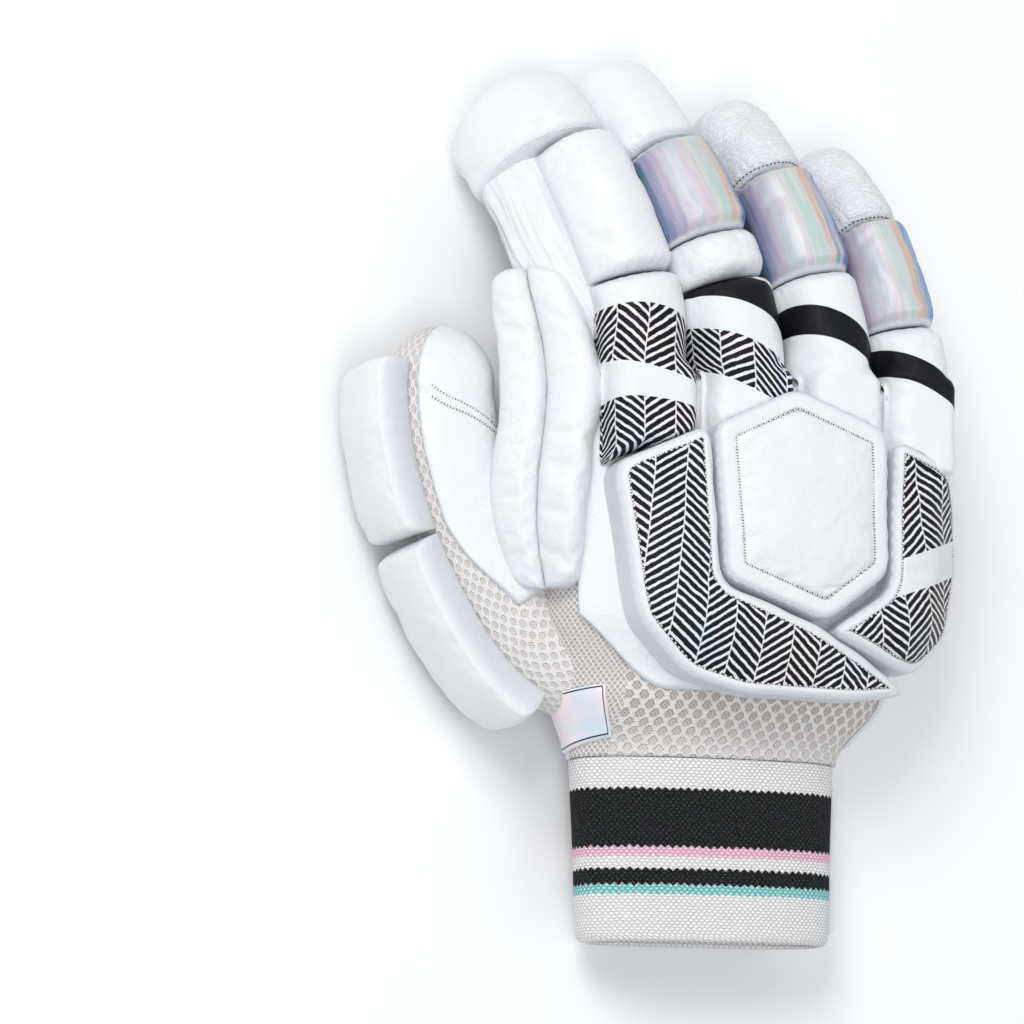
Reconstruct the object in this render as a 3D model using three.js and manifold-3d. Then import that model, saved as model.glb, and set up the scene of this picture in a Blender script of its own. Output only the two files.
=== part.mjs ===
import * as THREE from 'three';
import { mergeVertices } from 'three/addons/utils/BufferGeometryUtils.js';
import Module from 'manifold-3d';

// A right-hand cricket batting glove that lies palm down: +Y runs to the fingertips, the thumb is at -X,
// the back of the hand faces +Z and the floor is z = 0. All lengths are in millimetres.

const wasm = await Module();
wasm.setup();

// Driving sizes
const clearance = 0.3; // between neighbouring pieces
const palmLength = 121; // wrist seam to the finger roots
const palmWidth = 135; // across the ball of the thumb
const palmHeight = 47; // palm to back, without the plates
const wristWidth = 94;
const wristHeight = 37;
const bandLength = 59.5; // knitted wristband, along the arm
const bandWall = 3; // the knit is double
const handWall = 2.6; // leather or mesh with its towel lining
const knuckleRise = 41; // middle of the knuckles above the floor
const fingerPadWidth = 30; // of the ring finger; the others are shares of it
const fingerSpacing = 1.4; // free width between two pads at the knuckles
const fingerHeight = 25; // a sleeve, palm to back
const fingerWall = 2;
const fingerPadThickness = 13.5;
const capThickness = 6; // tip cap, in front of the fingertip
const capLeather = 2; // tip cap, palm side
const padSide = 1.6; // side wall of a finger pad beside its sleeve
const indexReach = 96; // finger root to the front of its cap, seen from above
const middleReach = 102;
const ringReach = 91;
const littleReach = 77;
const indexGusset = 12.5; // how far the side wall of the index sleeve bulges to the thumb
const middleGusset = 1.6;
const baseThickness = 2;
const plateThickness = 14;
const stripThickness = 1.2; // palm strips, patches and tabs
const thumbWidth = 37;
const thumbHeight = 29;
const thumbPadThickness = 14;
const thumbLeather = 1.5;
const bolsterThickness = 13;
const bolsterWidth = 33; // both strips, across the seam between them
const strapThickness = 2;
const strapWidth = 50; // along the arm
const strapReach = 62; // from the little finger side of the band towards the thumb

// Places that follow from the sizes
const wristY = -82;
const knuckleY = wristY + palmLength;
const restLevel = strapThickness + clearance; // the strap lies between the band and the floor
const wristRise = restLevel + wristHeight / 2;
const bandFlattening = 2.5; // how far the round band is pressed flat where it rests
const sleeveHalfHeight = fingerHeight / 2;
const plateLift = 2 * clearance + baseThickness;
const sunk = 0.8; // how far a piece reaches into its neighbour before the neighbour is cut out of it
const wristSide = 7.5; // middle of the wrist, the palm and the knuckles, to the little finger side
const palmSide = 10.5;
const knuckleSide = 18;

// The fingers, from the thumb side: width and tipWidth are shares of the finger pad width, lean is the way
// that the tip lies to the thumb side as a share of the reach, lift a share of half the sleeve's height,
// roll turns the pads to the little finger side, in degrees, and capFrom is a share of the reach
const fingerTable = [
  { name: 'index', width: 1.12, tipWidth: 0.92, lean: 0.27, lift: 0, roll: 17, capFrom: 0.735 },
  { name: 'middle', width: 1.1, tipWidth: 1, lean: 0.3, lift: 0.08, roll: 8, capFrom: 0.7 },
  { name: 'ring', width: 1, tipWidth: 0.95, lean: 0.22, lift: 0.08, roll: 0, capFrom: 0.695 },
  { name: 'little', width: 0.9, tipWidth: 0.86, lean: 0.17, lift: -0.12, roll: -6, capFrom: 0.63 },
];
const reaches = [indexReach, middleReach, ringReach, littleReach];
const gussets = [indexGusset, middleGusset, 0, 0];
const knuckleWidth = fingerTable.reduce((sum, row) => sum + row.width * fingerPadWidth + fingerSpacing, 0);

const white = { color: 0xf3f5f7, roughness: 0.45 };
const mesh = { color: 0xeae6e4, roughness: 0.9 };
const knit = { color: 0xefeeeb, roughness: 0.95 };
const foil = { color: 0xb9c2d6, roughness: 0.2, metalness: 0.8 };
const print = { color: 0x8c8f94, roughness: 0.4 };
const grey = { color: 0xdfe3e8, roughness: 0.5 };

const glove = new THREE.Group();

const addPiece = (name, geometry, finish) => {
  const piece = new THREE.Mesh(geometry, new THREE.MeshStandardMaterial(finish));
  piece.name = name;
  glove.add(piece);
};

const mix = (a, b, t) => a + (b - a) * t;

const smooth = (t) => {
  const share = Math.min(Math.max(t, 0), 1);
  return share * share * (3 - 2 * share);
};

// Value of one column of a table at a place between its rows
const readTable = (table, column, at) => {
  const last = table.length - 1;
  let row = 0;
  while (row < last - 1 && table[row + 1].at < at) row += 1;
  const from = table[row];
  const to = table[row + 1];
  return mix(from[column], to[column], smooth((at - from.at) / (to.at - from.at)));
};

// A closed geometry from loose triangles: doubles are merged, empty faces dropped and faces turned outwards
const closeUp = (triangles) => {
  const loose = new THREE.BufferGeometry();
  loose.setAttribute('position', new THREE.Float32BufferAttribute(triangles.flat(2), 3));
  const merged = mergeVertices(loose, 1e-3);
  const corners = merged.index.array;
  const kept = [];
  for (let i = 0; i < corners.length; i += 3) {
    const [a, b, c] = [corners[i], corners[i + 1], corners[i + 2]];
    if (a !== b && b !== c && c !== a) kept.push(a, b, c);
  }
  merged.setIndex(kept);
  const at = merged.attributes.position;
  const point = (i) => new THREE.Vector3().fromBufferAttribute(at, i);
  let volume = 0;
  for (let i = 0; i < kept.length; i += 3) {
    volume += point(kept[i]).dot(point(kept[i + 1]).cross(point(kept[i + 2])));
  }
  if (volume < 0) kept.reverse();
  merged.setIndex(kept);
  return merged;
};

// Two triangles for every cell between neighbouring rows of points
const gridFaces = (rows, loop) => {
  const faces = [];
  for (let i = 0; i < rows.length - 1; i += 1) {
    const count = rows[i].length;
    for (let j = 0; j < (loop ? count : count - 1); j += 1) {
      const k = (j + 1) % count;
      faces.push([rows[i][j], rows[i + 1][j], rows[i + 1][k]], [rows[i][j], rows[i + 1][k], rows[i][k]]);
    }
  }
  return faces;
};

// Closed body between two rings of rings: both meet at the first and at the last ring
const shellBody = (outer, inner) => closeUp(gridFaces([...outer, ...[...inner].reverse(), outer[0]], true));

// Closed body from rings whose first and last are single points
const roundBody = (rings) => closeUp(gridFaces(rings, true));

const shrinkTo = (ring) => {
  const sum = ring.reduce((total, p) => total.map((value, axis) => value + p[axis] / ring.length), [0, 0, 0]);
  return ring.map(() => sum);
};

// Closed body between an outer and an inner sheet of points
const slabBody = (outer, inner) => {
  const column = (sheet, j) => sheet.map((row) => row[j]);
  const last = outer[0].length - 1;
  return closeUp([
    ...gridFaces(outer, false),
    ...gridFaces(inner.map((row) => [...row].reverse()), false),
    ...gridFaces([inner[0], outer[0]], false),
    ...gridFaces([outer[outer.length - 1], inner[inner.length - 1]], false),
    ...gridFaces([column(outer, 0), column(inner, 0)], false),
    ...gridFaces([column(inner, last), column(outer, last)], false),
  ]);
};

const toSolid = (geometry) => new wasm.Manifold(new wasm.Mesh({
  numProp: 3,
  vertProperties: new Float32Array(geometry.attributes.position.array),
  triVerts: new Uint32Array(geometry.index.array),
}));

const fromSolid = (solid) => {
  const { vertProperties, triVerts } = solid.getMesh();
  const geometry = new THREE.BufferGeometry();
  geometry.setAttribute('position', new THREE.Float32BufferAttribute(vertProperties, 3));
  geometry.setIndex(Array.from(triVerts));
  return geometry;
};

// What is left of a piece when its neighbours are cut out of it, without the offcuts behind them
const carve = (geometry, ...cutters) => {
  const cut = cutters.reduce((solid, cutter) => solid.subtract(toSolid(cutter)), toSolid(geometry));
  const bodies = cut.decompose();
  return fromSolid(bodies.reduce((main, body) => (body.volume() > main.volume() ? body : main)));
};

const steps = (count, from = 0, to = 1) => (
  Array.from({ length: count + 1 }, (_, i) => mix(from, to, i / count))
);

const superCos = (angle, power) => Math.sign(Math.cos(angle)) * Math.abs(Math.cos(angle)) ** (2 / power);
const superSin = (angle, power) => Math.sign(Math.sin(angle)) * Math.abs(Math.sin(angle)) ** (2 / power);

const fullTurn = (count) => steps(count, 0, 2 * Math.PI).slice(0, count);
const arc = (count, fromDegrees, toDegrees) => (
  steps(count, THREE.MathUtils.degToRad(fromDegrees), THREE.MathUtils.degToRad(toDegrees))
);

// The hand: ovals across the arm, each a blend of the wrist, the ball of the thumb and the knuckles
const handOvals = {
  wrist: {
    side: wristSide,
    rise: wristRise - bandFlattening,
    halfWidth: wristWidth / 2,
    halfHeight: wristHeight / 2,
    power: 2.5,
  },
  palm: {
    side: palmSide,
    rise: mix(wristRise, knuckleRise, 0.62),
    halfWidth: palmWidth / 2,
    halfHeight: palmHeight / 2,
    power: 2.3,
  },
  knuckles: {
    side: knuckleSide,
    rise: knuckleRise,
    halfWidth: knuckleWidth / 2,
    halfHeight: sleeveHalfHeight + handWall + baseThickness,
    power: 3.6,
  },
};
const handTable = [
  { at: 0, wrist: 1, palm: 0, knuckles: 0 },
  { at: 0.18, wrist: 0.46, palm: 0.54, knuckles: 0 },
  { at: 0.4, wrist: 0.1, palm: 0.9, knuckles: 0 },
  { at: 0.62, wrist: 0, palm: 1, knuckles: 0 },
  { at: 0.84, wrist: 0, palm: 0.5, knuckles: 0.5 },
  { at: 1, wrist: 0, palm: 0, knuckles: 1 },
];

const handOval = (y) => {
  const at = Math.min(Math.max((y - wristY) / palmLength, 0), 1);
  const oval = {};
  for (const size of Object.keys(handOvals.wrist)) {
    oval[size] = Object.keys(handOvals).reduce(
      (sum, name) => sum + readTable(handTable, name, at) * handOvals[name][size],
      0,
    );
  }
  return oval;
};

// A point on an oval, a distance outside it, pressed flat where it would go under the resting level
const onOval = (oval, y, angle, outset) => [
  oval.side + (oval.halfWidth + outset) * superCos(angle, oval.power),
  y,
  Math.max(oval.rise + (oval.halfHeight + outset) * superSin(angle, oval.power), restLevel - outset),
];

const handRing = (y, outset, angles) => angles.map((angle) => onOval(handOval(y), y, angle, outset));

const capped = (rings) => [shrinkTo(rings[0]), ...rings, shrinkTo(rings[rings.length - 1])];

const handSides = 24;
const handRows = 6;
const handSolid = (outset, from, to) => {
  const turn = fullTurn(handSides);
  const overrun = outset > 0 ? [[from - outset], [to + outset]] : [[], []];
  const rows = [...overrun[0], ...steps(handRows, from, to), ...overrun[1]];
  return roundBody(capped(rows.map((y) => handRing(y, outset, turn))));
};

// Height of the back of the hand; past its edge the surface goes on down a slope
const edgeShare = 0.94;
const edgeSlope = 1.1;
const backHeight = (x, y, outset, sign = 1) => {
  const oval = handOval(y);
  const halfWidth = oval.halfWidth + outset;
  const halfHeight = oval.halfHeight + outset;
  const share = Math.abs(x - oval.side) / halfWidth;
  const inside = Math.min(share, edgeShare);
  const arch = halfHeight * (1 - inside ** oval.power) ** (1 / oval.power);
  return oval.rise + sign * (arch - edgeSlope * (share - inside) * halfWidth);
};

// Each finger runs forward from the knuckles and droops until its cap lies on the floor
const droop = 2.6;
const sway = 1.3; // how late the lean comes
const squareShare = 0.3; // share of the reach in which rings turn square to the finger
const sleeveHalf = (share) => (share * fingerPadWidth) / 2 - padSide - clearance;

const fingerRoot = (order) => {
  const taken = (row) => row.width * fingerPadWidth + fingerSpacing;
  const before = fingerTable.slice(0, order).reduce((sum, row) => sum + taken(row), 0);
  const edge = handOvals.knuckles.side - knuckleWidth / 2 + fingerSpacing / 2;
  return edge + before + (fingerTable[order].width * fingerPadWidth) / 2;
};

const fingerPoint = (finger, y) => {
  const along = (y - knuckleY) / finger.reach;
  const rootHeight = knuckleRise + finger.lift * sleeveHalfHeight;
  return new THREE.Vector3(
    finger.rootX - finger.lean * finger.reach * Math.max(along, 0) ** sway,
    y,
    rootHeight - (rootHeight - finger.tipHeight) * Math.max(along, 0) ** droop,
  );
};

// Square to the arm at the knuckles, then square to the finger and rolled with it
const fingerFrame = (finger, y) => {
  const delta = 0.5;
  const bend = smooth((y - knuckleY) / (squareShare * finger.reach));
  const ahead = fingerPoint(finger, y + delta).sub(fingerPoint(finger, y - delta)).normalize();
  const forward = new THREE.Vector3(0, 1, 0).lerp(ahead, bend).normalize();
  const level = new THREE.Vector3(forward.y, -forward.x, 0).normalize();
  const roll = -THREE.MathUtils.degToRad(finger.roll) * bend;
  const right = level.applyAxisAngle(forward, -roll);
  const up = new THREE.Vector3().crossVectors(right, forward);
  return { centre: fingerPoint(finger, y), right, up };
};

// One ring of points round a finger; grow says how far it lies outside the sleeve on each side. The bulge
// of the side wall sags towards the palm
const fingerPower = 2.4;
const gussetRise = 0.5; // share of the reach where the side wall has its full bulge
const gussetSag = 0.5;
const fingerRing = (finger, y, scale, grow, angles) => {
  const { centre, right, up } = fingerFrame(finger, y);
  const along = Math.max((y - knuckleY) / finger.reach, 0);
  const half = mix(sleeveHalf(finger.width), sleeveHalf(finger.tipWidth), smooth(along));
  const gusset = finger.gusset * smooth(along / gussetRise);
  return angles.map((angle) => {
    const cos = superCos(angle, fingerPower);
    const sin = superSin(angle, fingerPower);
    const wide = half + (cos < 0 ? grow.left + gusset * grow.gusset : grow.right);
    const tall = sleeveHalfHeight + (sin < 0 ? grow.down : grow.up);
    const sag = gussetSag * gusset * Math.min(cos, 0) ** 2;
    return centre.clone()
      .addScaledVector(right, scale * wide * cos)
      .addScaledVector(up, scale * (tall * sin - sag))
      .toArray();
  });
};

const evenGrow = (outset) => ({ left: outset, right: outset, up: outset, down: outset, gusset: 1 });

const fingerSides = 12;
const restingShare = 0.7; // share of the reach from which a fingertip can touch the floor
const domeTurns = [30, 55, 75, 90].map(THREE.MathUtils.degToRad);
// Rings from a start to a rounded end, the last one a single point
const domeRings = (finger, from, end, grow, angles, rows) => {
  const capDepth = sleeveHalf(finger.tipWidth);
  const straight = steps(rows, from, end - capDepth).map((y) => fingerRing(finger, y, 1, grow, angles));
  const round = domeTurns.map((turn) => (
    fingerRing(finger, end - capDepth * (1 - Math.sin(turn)), Math.cos(turn), grow, angles)
  ));
  return [...straight, ...round];
};

const sleeveEnd = (finger) => knuckleY + finger.reach - capThickness - clearance;

const capPadding = 0.8; // padding over the nail, as a share of the finger pads' thickness
const capGrow = {
  left: padSide + clearance,
  right: padSide + clearance,
  up: fingerPadThickness * capPadding,
  down: capLeather + clearance,
  gusset: 1,
};
const capRings = (finger, from) => (
  domeRings(finger, from, knuckleY + finger.reach, capGrow, fullTurn(fingerSides), 2)
);

// The finger is lowered until its cap touches the floor
const fingers = fingerTable.map((row, order) => {
  const finger = {
    ...row,
    reach: reaches[order],
    gusset: gussets[order],
    rootX: fingerRoot(order),
    tipHeight: sleeveHalfHeight,
  };
  for (let round = 0; round < 6; round += 1) {
    const heights = capRings(finger, knuckleY + restingShare * finger.reach).flat().map((p) => p[2]);
    finger.tipHeight -= Math.min(...heights);
  }
  return finger;
});

// The palm and the back of the hand are one hollow, split along the side seam
const fingerBore = (finger, from, to) => (
  roundBody(capped([from, to].map((y) => (
    fingerRing(finger, y, 1, evenGrow(-fingerWall), fullTurn(fingerSides))
  ))))
);

const seamPrism = (above) => {
  const overrun = 20;
  const far = 200;
  const side = above ? 1 : -1;
  const slope = (handOvals.knuckles.rise - handOvals.wrist.rise) / palmLength;
  const low = handOvals.wrist.rise + side * clearance / 2;
  const outline = new THREE.Shape([
    new THREE.Vector2(wristY - overrun, low - slope * overrun),
    new THREE.Vector2(knuckleY + overrun, low + slope * (palmLength + overrun)),
    new THREE.Vector2(knuckleY + overrun, side * far),
    new THREE.Vector2(wristY - overrun, side * far),
  ]);
  const prism = new THREE.ExtrudeGeometry(outline, { depth: 2 * far, bevelEnabled: false });
  prism.deleteAttribute('normal');
  prism.deleteAttribute('uv');
  // The outline is drawn in Y and Z, and pulled along X
  prism.applyMatrix4(new THREE.Matrix4().set(0, 0, 1, -far, 1, 0, 0, 0, 0, 1, 0, 0, 0, 0, 0, 1));
  return mergeVertices(prism, 1e-3);
};

// The thumb bends from the heel of the hand to lie beside the index finger
const thumbTable = [
  { across: -0.12, along: 0.215, rise: 0.56 },
  { across: -0.38, along: 0.23, rise: 0.56 },
  { across: -0.578, along: 0.306, rise: 0.56 },
  { across: -0.752, along: 0.512, rise: 0.55 },
  { across: -0.859, along: 0.744, rise: 0.53 },
  { across: -0.898, along: 0.959, rise: 0.5 },
  { across: -0.859, along: 1.149, rise: 0.45 },
];
const thumbCurve = new THREE.CatmullRomCurve3(thumbTable.map((row) => new THREE.Vector3(
  handOvals.wrist.side + row.across * (palmWidth / 2 + thumbWidth),
  wristY + row.along * palmLength,
  row.rise * knuckleRise,
)));
const thumbLength = thumbCurve.getLength();
const thumbTaper = 0.12;
const thumbPower = 2.4;
const thumbSides = 12;

const thumbRing = (share, scale, grow, angles) => {
  const centre = thumbCurve.getPointAt(share);
  const forward = thumbCurve.getTangentAt(share);
  const right = new THREE.Vector3(forward.y, -forward.x, 0).normalize();
  const up = new THREE.Vector3().crossVectors(right, forward);
  const taper = 1 - thumbTaper * share;
  return angles.map((angle) => {
    const wide = (thumbWidth / 2) * taper + grow;
    const tall = (thumbHeight / 2) * taper + grow;
    return centre.clone()
      .addScaledVector(right, scale * wide * superCos(angle, thumbPower))
      .addScaledVector(up, scale * tall * superSin(angle, thumbPower))
      .toArray();
  });
};

const thumbRows = 6;
const thumbCapShare = (thumbWidth / 2) / thumbLength;
const thumbRings = (grow) => {
  const angles = fullTurn(thumbSides);
  const end = 1 + (grow < 0 ? grow / thumbLength : 0);
  const straight = steps(thumbRows, 0, end - thumbCapShare).map((share) => thumbRing(share, 1, grow, angles));
  const round = domeTurns.map((turn) => (
    thumbRing(end - thumbCapShare * (1 - Math.sin(turn)), Math.cos(turn), grow, angles)
  ));
  return [...straight, ...round];
};

const thumbSolid = (grow) => {
  const rings = thumbRings(grow);
  return roundBody([shrinkTo(rings[0]), ...rings]);
};

const handOuter = handSolid(0, wristY, knuckleY);
const handInner = handSolid(-handWall, wristY - handWall, knuckleY - handWall);
const bores = fingers.map((finger) => fingerBore(finger, knuckleY - 2 * handWall, knuckleY + handWall));
const handShell = carve(handOuter, handInner, thumbSolid(-handWall), ...bores);
addPiece('hand_back', fromSolid(toSolid(handShell).intersect(toSolid(seamPrism(true)))), mesh);
addPiece('palm_leather', fromSolid(toSolid(handShell).intersect(toSolid(seamPrism(false)))), white);

// Space of a body with the clearance round it, and of the hand with the leather ground of its back as well
const handClear = handSolid(clearance, wristY, knuckleY);
const onBase = handSolid(plateLift, wristY, knuckleY);
const thumbClear = thumbSolid(clearance);
const thumbTube = shellBody(thumbRings(0), thumbRings(-handWall));
addPiece('thumb_sleeve', carve(thumbTube, handClear), mesh);

const sleeveStart = knuckleY + clearance;
const sleeveRows = 5;
const fingerClear = (finger) => {
  const turn = fullTurn(fingerSides);
  const end = sleeveEnd(finger) + clearance;
  const rings = domeRings(finger, sleeveStart, end, evenGrow(clearance), turn, sleeveRows);
  const behind = fingerRing(finger, knuckleY, 1, evenGrow(clearance), turn);
  return roundBody([shrinkTo(behind), behind, ...rings]);
};

// Finger sleeves, and the leather strip on the palm side of each
for (const finger of fingers) {
  const turn = fullTurn(fingerSides);
  const end = sleeveEnd(finger);
  const outer = domeRings(finger, sleeveStart, end, evenGrow(0), turn, sleeveRows);
  const inner = domeRings(finger, sleeveStart, end - fingerWall, evenGrow(-fingerWall), turn, sleeveRows);
  addPiece(`${finger.name}_sleeve`, shellBody(outer, inner), mesh);
}

const shortRow = 4; // least length of a palm strip's last row
for (const finger of fingers) {
  const underside = arc(4, 210, 330);
  const stop = knuckleY + (finger.capFrom - 0.02) * finger.reach;
  const rows = steps(sleeveRows, sleeveStart, sleeveEnd(finger) - sleeveHalf(finger.tipWidth));
  while (rows[rows.length - 1] > stop - shortRow) rows.pop();
  rows.push(stop);
  const sheet = (grow) => rows.map((y) => fingerRing(finger, y, 1, evenGrow(grow), underside));
  const strip = slabBody(sheet(clearance + stripThickness), sheet(-sunk));
  addPiece(`${finger.name}_palm_strip`, carve(strip, fingerClear(finger)), white);
}

// Tip caps: leather all round the fingertip, padded over the nail
for (const finger of fingers) {
  const from = knuckleY + finger.capFrom * finger.reach + clearance / 2;
  const rings = capRings(finger, from);
  const cap = roundBody([shrinkTo(rings[0]), ...rings]);
  addPiece(`${finger.name}_tip_cap`, carve(cap, fingerClear(finger)), white);
}

// Plates on the back of the hand; across is a share of half the palm width from its middle line, and along
// is a share of the palm length from the wrist
const plates = {
  centre_plate: {
    centre: { across: 0.16, along: 0.67 },
    corner: 5,
    outline: [
      { across: -0.31, along: 0.86 },
      { across: 0.11, along: 0.97 },
      { across: 0.6, along: 0.87 },
      { across: 0.64, along: 0.49 },
      { across: 0.29, along: 0.35 },
      { across: -0.24, along: 0.455 },
    ],
  },
  thumb_side_plate: {
    centre: { across: -0.4, along: 0.42 },
    corner: 6,
    outline: [
      { across: -0.79, along: 0.75 },
      { across: -0.34, along: 0.86 },
      { across: -0.27, along: 0.44 },
      { across: 0.26, along: 0.335 },
      { across: 0.86, along: 0.18 },
      { across: 0.5, along: 0.15 },
      { across: -0.1, along: 0.155 },
      { across: -0.4, along: 0.2 },
      { across: -0.66, along: 0.34 },
    ],
  },
  little_side_plate: {
    centre: { across: 0.96, along: 0.42 },
    corner: 6,
    outline: [
      { across: 0.65, along: 0.85 },
      { across: 1, along: 0.79 },
      { across: 1.16, along: 0.68 },
      { across: 1.2, along: 0.5 },
      { across: 1.12, along: 0.33 },
      { across: 0.92, along: 0.24 },
      { across: 0.75, along: 0.24 },
      { across: 0.32, along: 0.325 },
      { across: 0.67, along: 0.45 },
    ],
  },
};
const plateRows = [
  { out: 0, up: 0 },
  { out: 1, up: 0 },
  { out: 1, up: 0.62 },
  { out: 0.975, up: 0.86 },
  { out: 0.9, up: 1 },
  { out: 0.5, up: 1.07 },
  { out: 0, up: 1.1 },
];

const plateSpot = ({ across, along }) => new THREE.Vector2(
  handOvals.palm.side + across * (palmWidth / 2),
  wristY + along * palmLength,
);

// The outline with round corners, and points along its sides so that it can follow the hand
const roundedOutline = (corners, radius) => {
  const path = new THREE.Path();
  corners.forEach((corner, i) => {
    const before = corners[(i + corners.length - 1) % corners.length];
    const after = corners[(i + 1) % corners.length];
    const reachTo = (other) => corner.clone().lerp(other, Math.min(radius / corner.distanceTo(other), 0.45));
    const from = reachTo(before);
    const to = reachTo(after);
    if (i === 0) path.moveTo(from.x, from.y);
    else path.lineTo(from.x, from.y);
    path.quadraticCurveTo(corner.x, corner.y, to.x, to.y);
  });
  path.closePath();
  return path;
};

const plateSides = 24;
const plateBody = (plate, grow) => {
  const centre = plateSpot(plate.centre);
  const path = roundedOutline(plate.outline.map(plateSpot), plate.corner);
  const border = path.getSpacedPoints(plateSides).slice(0, plateSides);
  const rings = plateRows.map((row) => border.map((point) => {
    const distance = point.distanceTo(centre);
    const spot = centre.clone().lerp(point, row.out * (1 + grow / distance));
    const low = backHeight(spot.x, spot.y, plateLift);
    return [spot.x, spot.y, row.up > 0 ? low + row.up * plateThickness + grow : low - 2 * sunk];
  }));
  return roundBody(rings);
};

// A plate grows away from its centre, which is aslant to most of its sides
const plateGap = 1.8 * clearance;
const centreClear = plateBody(plates.centre_plate, plateGap);
const thumbSideClear = plateBody(plates.thumb_side_plate, plateGap);
const littleSideClear = plateBody(plates.little_side_plate, plateGap);
const centrePlate = carve(plateBody(plates.centre_plate, 0), onBase);
addPiece('centre_plate', centrePlate, white);
const thumbSidePlate = carve(plateBody(plates.thumb_side_plate, 0), onBase, centreClear);
addPiece('thumb_side_plate', thumbSidePlate, print);
const littleSidePlate = carve(plateBody(plates.little_side_plate, 0), onBase, centreClear, thumbSideClear);
addPiece('little_side_plate', littleSidePlate, print);

// A thin piece that lies on the hand between two angles round its oval
const wrapPiece = (angles, rows, thickness, ...cutters) => {
  const sheet = (outset) => rows.map((y) => handRing(y, outset, angles));
  return carve(slabBody(sheet(clearance + thickness), sheet(-sunk)), handClear, ...cutters);
};

const baseRows = steps(handRows, wristY, knuckleY).slice(1);
addPiece('backhand_base', wrapPiece(arc(8, 30, 150), baseRows, baseThickness), white);
const panelRows = steps(5, wristY + 0.06 * palmLength, wristY + 0.62 * palmLength);
addPiece('side_panel', wrapPiece(arc(3, -30, 15), panelRows, stripThickness, littleSideClear), white);
const tabRows = steps(2, wristY + 0.01 * palmLength, wristY + 0.12 * palmLength);
addPiece('label_tab', wrapPiece(arc(2, 150, 180), tabRows, stripThickness, thumbClear), foil);

// Finger pads: saddles over the sleeve that sit on the hand behind the knuckles
const padTable = [
  { name: 'index_middle_pad', finger: 0, from: 0.312, to: 0.73, sides: 5, finish: white },
  { name: 'index_knuckle_pad', finger: 0, from: -0.45, to: 0.302, sides: 5, finish: print },
  { name: 'middle_foil_pad', finger: 1, from: 0.432, to: 0.695, sides: 6, finish: foil },
  { name: 'middle_joint_roll', finger: 1, from: 0.298, to: 0.424, sides: 6, finish: white },
  { name: 'middle_knuckle_pad', finger: 1, from: -0.2, to: 0.29, sides: 6, finish: print },
  { name: 'ring_foil_pad', finger: 2, from: 0.368, to: 0.69, sides: 6, finish: foil },
  { name: 'ring_knuckle_pad', finger: 2, from: -0.2, to: 0.36, sides: 6, finish: grey },
  { name: 'little_foil_pad', finger: 3, from: 0.255, to: 0.625, sides: 6, finish: foil },
  { name: 'little_knuckle_pad', finger: 3, from: -0.38, to: 0.245, sides: 6, finish: grey },
];
const padRows = [
  { at: 0, full: 0.62 },
  { at: 0.07, full: 0.88 },
  { at: 0.27, full: 1 },
  { at: 0.73, full: 1 },
  { at: 0.93, full: 0.88 },
  { at: 1, full: 0.62 },
];
const padGusset = 0.25; // share of the bulging side wall that a pad covers
const padBody = (pad, grow) => {
  const finger = fingers[pad.finger];
  const angles = arc(pad.sides, 0, (pad.sides * 360) / fingerSides);
  const last = padRows.length - 1;
  const place = (row, i) => {
    const overrun = grow * ((i === last) - (i === 0));
    return knuckleY + mix(pad.from, pad.to, row.at) * finger.reach + overrun;
  };
  const outer = padRows.map((row, i) => fingerRing(finger, place(row, i), 1, {
    left: padSide + clearance + grow,
    right: padSide + clearance + grow,
    up: clearance + fingerPadThickness * row.full + grow,
    down: 0,
    gusset: padGusset,
  }, angles));
  const inner = padRows.map((row, i) => fingerRing(finger, place(row, i), 1, evenGrow(-sunk), angles));
  return slabBody(outer, inner);
};

for (const pad of padTable) {
  const cutters = fingers.map(fingerClear);
  const nextFinger = padTable.filter((other) => other.finger === pad.finger + 1);
  cutters.push(...nextFinger.map((other) => padBody(other, clearance)));
  if (pad.from < 0) cutters.push(onBase, centreClear, thumbSideClear, littleSideClear);
  addPiece(pad.name, carve(padBody(pad, 0), ...cutters), pad.finish);
}

// Thumb: leather on the face towards the index finger, and two pads on the outside
const thumbSlab = (angles, shares, thickness, full) => {
  const [from, to] = [shares[0], shares[shares.length - 1]];
  const lift = (share) => clearance + thickness * full((share - from) / (to - from));
  const outer = shares.map((share) => thumbRing(share, 1, lift(share), angles));
  const inner = shares.map((share) => thumbRing(share, 1, -sunk, angles));
  return carve(slabBody(outer, inner), thumbClear, handClear);
};
const even = () => 1;
const crowned = (at) => 0.6 + 0.4 * (1 - Math.abs(2 * at - 1) ** 3);
const faceShares = steps(thumbRows, 0, 1 - thumbCapShare).slice(2);
const outside = arc(4, 150, 210);
addPiece('thumb_face_leather', thumbSlab(arc(6, -60, 120), faceShares, thumbLeather, even), white);
addPiece('thumb_tip_pad', thumbSlab(outside, steps(4, 0.6, 0.89), thumbPadThickness, crowned), white);
addPiece('thumb_base_pad', thumbSlab(outside, steps(4, 0.27, 0.59), thumbPadThickness, crowned), white);

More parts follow.
